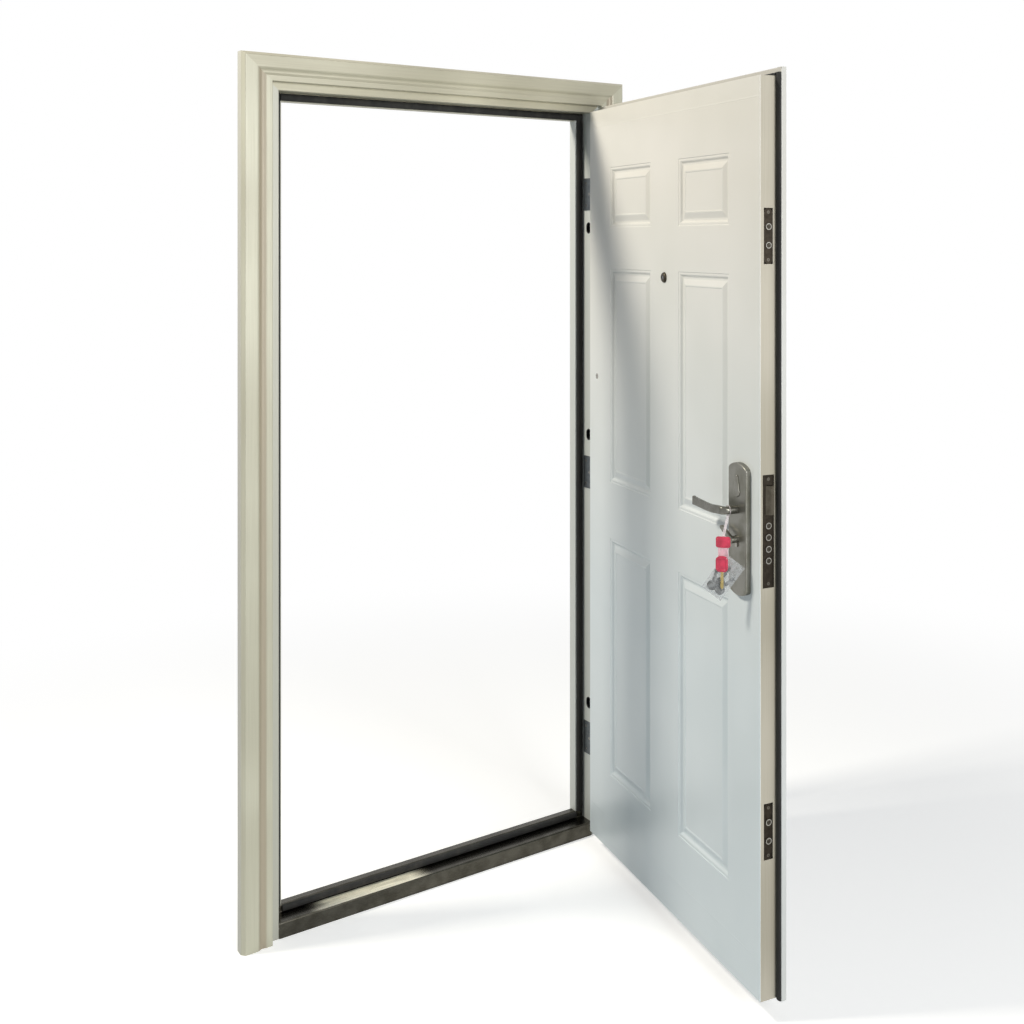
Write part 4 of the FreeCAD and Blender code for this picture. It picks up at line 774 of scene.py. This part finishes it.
WORLD_FILL = 0.18
FLOOR_SIZE = 30.0
FLOOR_GLOW = 0.5
# The floor shows its shadows within the first distance of a point and none past the second.
SHADOW_MIDDLE = (0.1, -0.3, 0.0)
SHADOW_REACH = (1.0, 3.2)
PHOTO_WIDTH = 1024
CAMERA_PLACE = (-1.5531, -2.9968, 1.6688)
CAMERA_HEADING = 36.4315
FOCAL_PX = 1273.73
CENTRE_PX = (645.72, 241.16)
SENSOR_MM = 36.0


def camera():
    """The photograph's viewpoint: level, with the frame shifted off the axis."""
    data = bpy.data.cameras.new("camera")
    data.sensor_width = SENSOR_MM
    data.lens = FOCAL_PX / PHOTO_WIDTH * SENSOR_MM
    data.shift_x = (PHOTO_WIDTH / 2 - CENTRE_PX[0]) / PHOTO_WIDTH
    data.shift_y = (CENTRE_PX[1] - PHOTO_WIDTH / 2) / PHOTO_WIDTH
    item = bpy.data.objects.new("camera", data)
    item.location = CAMERA_PLACE
    item.rotation_euler = (math.radians(90), 0, -math.radians(CAMERA_HEADING))
    bpy.context.scene.collection.objects.link(item)
    bpy.context.scene.camera = item


def area_light(name, place, target, size, watts, colour="FFFFFF"):
    """A rectangular light that looks at a target and isn't seen itself."""
    data = bpy.data.lights.new(name, "AREA")
    data.shape = "RECTANGLE"
    data.size, data.size_y = size
    data.energy = watts
    data.color = linear(colour)[:3]
    item = bpy.data.objects.new(name, data)
    item.location = place
    item.rotation_euler = (Vector(target) - Vector(place)).to_track_quat("-Z", "Y").to_euler()
    item.visible_camera = False
    bpy.context.scene.collection.objects.link(item)


def seen_share(tree):
    """1 where a ray from the camera, a mirror or a lens looks, 0 where light is gathered."""
    path = add(tree, "LightPath").outputs
    pair = add(tree, "Math", {0: path["Is Camera Ray"], 1: path["Is Glossy Ray"]},
               operation="MAXIMUM")
    return add(tree, "Math", {0: pair.outputs[0], 1: path["Is Transmission Ray"]},
               operation="MAXIMUM").outputs[0]


def studio_world():
    """White to the eye, and a faint, even, cool sky to the surfaces."""
    world = bpy.data.worlds.new("studio")
    world.use_nodes = True
    tree = world.node_tree
    background = tree.nodes["Background"]
    seen = seen_share(tree)
    strength = add(tree, "MapRange", {"Value": seen, "To Min": WORLD_FILL, "To Max": 1.0})
    tree.links.new(strength.outputs["Result"], background.inputs["Strength"])
    tree.links.new(blend_colours(tree, seen, "E4EEF6", "FFFFFF"), background.inputs["Color"])
    bpy.context.scene.world = world


def floor():
    """A pale matt floor that keeps the door's shadow and whitens with distance, so that it runs
    into the backdrop. To the light that it throws back it is a mid grey."""
    bm = bmesh.new()
    bmesh.ops.create_grid(bm, x_segments=4, y_segments=4, size=FLOOR_SIZE / 2)
    data = bpy.data.meshes.new("floor")
    bm.to_mesh(data)
    bm.free()
    item = bpy.data.objects.new("floor", data)
    bpy.context.scene.collection.objects.link(item)
    material, tree, shader, place = finish_of("pale_floor", "E4E4E2", roughness=1.0)
    shader.inputs["Specular IOR Level"].default_value = 0.0
    seen = seen_share(tree)
    around = add(tree, "Mapping", {"Vector": place, "Location": SHADOW_MIDDLE},
                 vector_type="TEXTURE")
    reach = add(tree, "VectorMath", {0: around.outputs[0]}, operation="LENGTH")
    far = add(tree, "MapRange", {"Value": reach.outputs["Value"], "From Min": SHADOW_REACH[0],
                                 "From Max": SHADOW_REACH[1]}, interpolation_type="SMOOTHSTEP")
    near_colour = blend_colours(tree, seen, "B2BCC4", "E4E4E2")
    seen_far = add(tree, "Math", {0: seen, 1: far.outputs["Result"]}, operation="MULTIPLY")
    faded = blend_colours(tree, seen_far.outputs[0], near_colour, "000000")
    tree.links.new(faded, shader.inputs["Base Color"])
    shader.inputs["Emission Color"].default_value = linear("FFFFFF")
    glow = add(tree, "MapRange", {"Value": far.outputs["Result"], "To Min": FLOOR_GLOW,
                                  "To Max": 1.0})
    shown = add(tree, "Math", {0: seen, 1: glow.outputs["Result"]}, operation="MULTIPLY")
    tree.links.new(shown.outputs[0], shader.inputs["Emission Strength"])
    data.materials.append(material)


camera()
studio_world()
floor()
# High and behind on the left: it throws the head's and the lock jamb's soft shadow on the leaf.
area_light("high_light", place=(-2.3, 0.80, 3.80), target=(0.5, -0.4, 1.1), size=(0.6, 0.6),
           watts=119, colour="FFF9EE")
# Broad and low in front: it lights the trim and only grazes the leaf's inside.
area_light("front_light", place=(0.0, -5.0, 2.0), target=(-0.1, 0.0, 1.1), size=(2.0, 2.4),
           watts=165)

bpy.context.scene.view_settings.view_transform = "Standard"
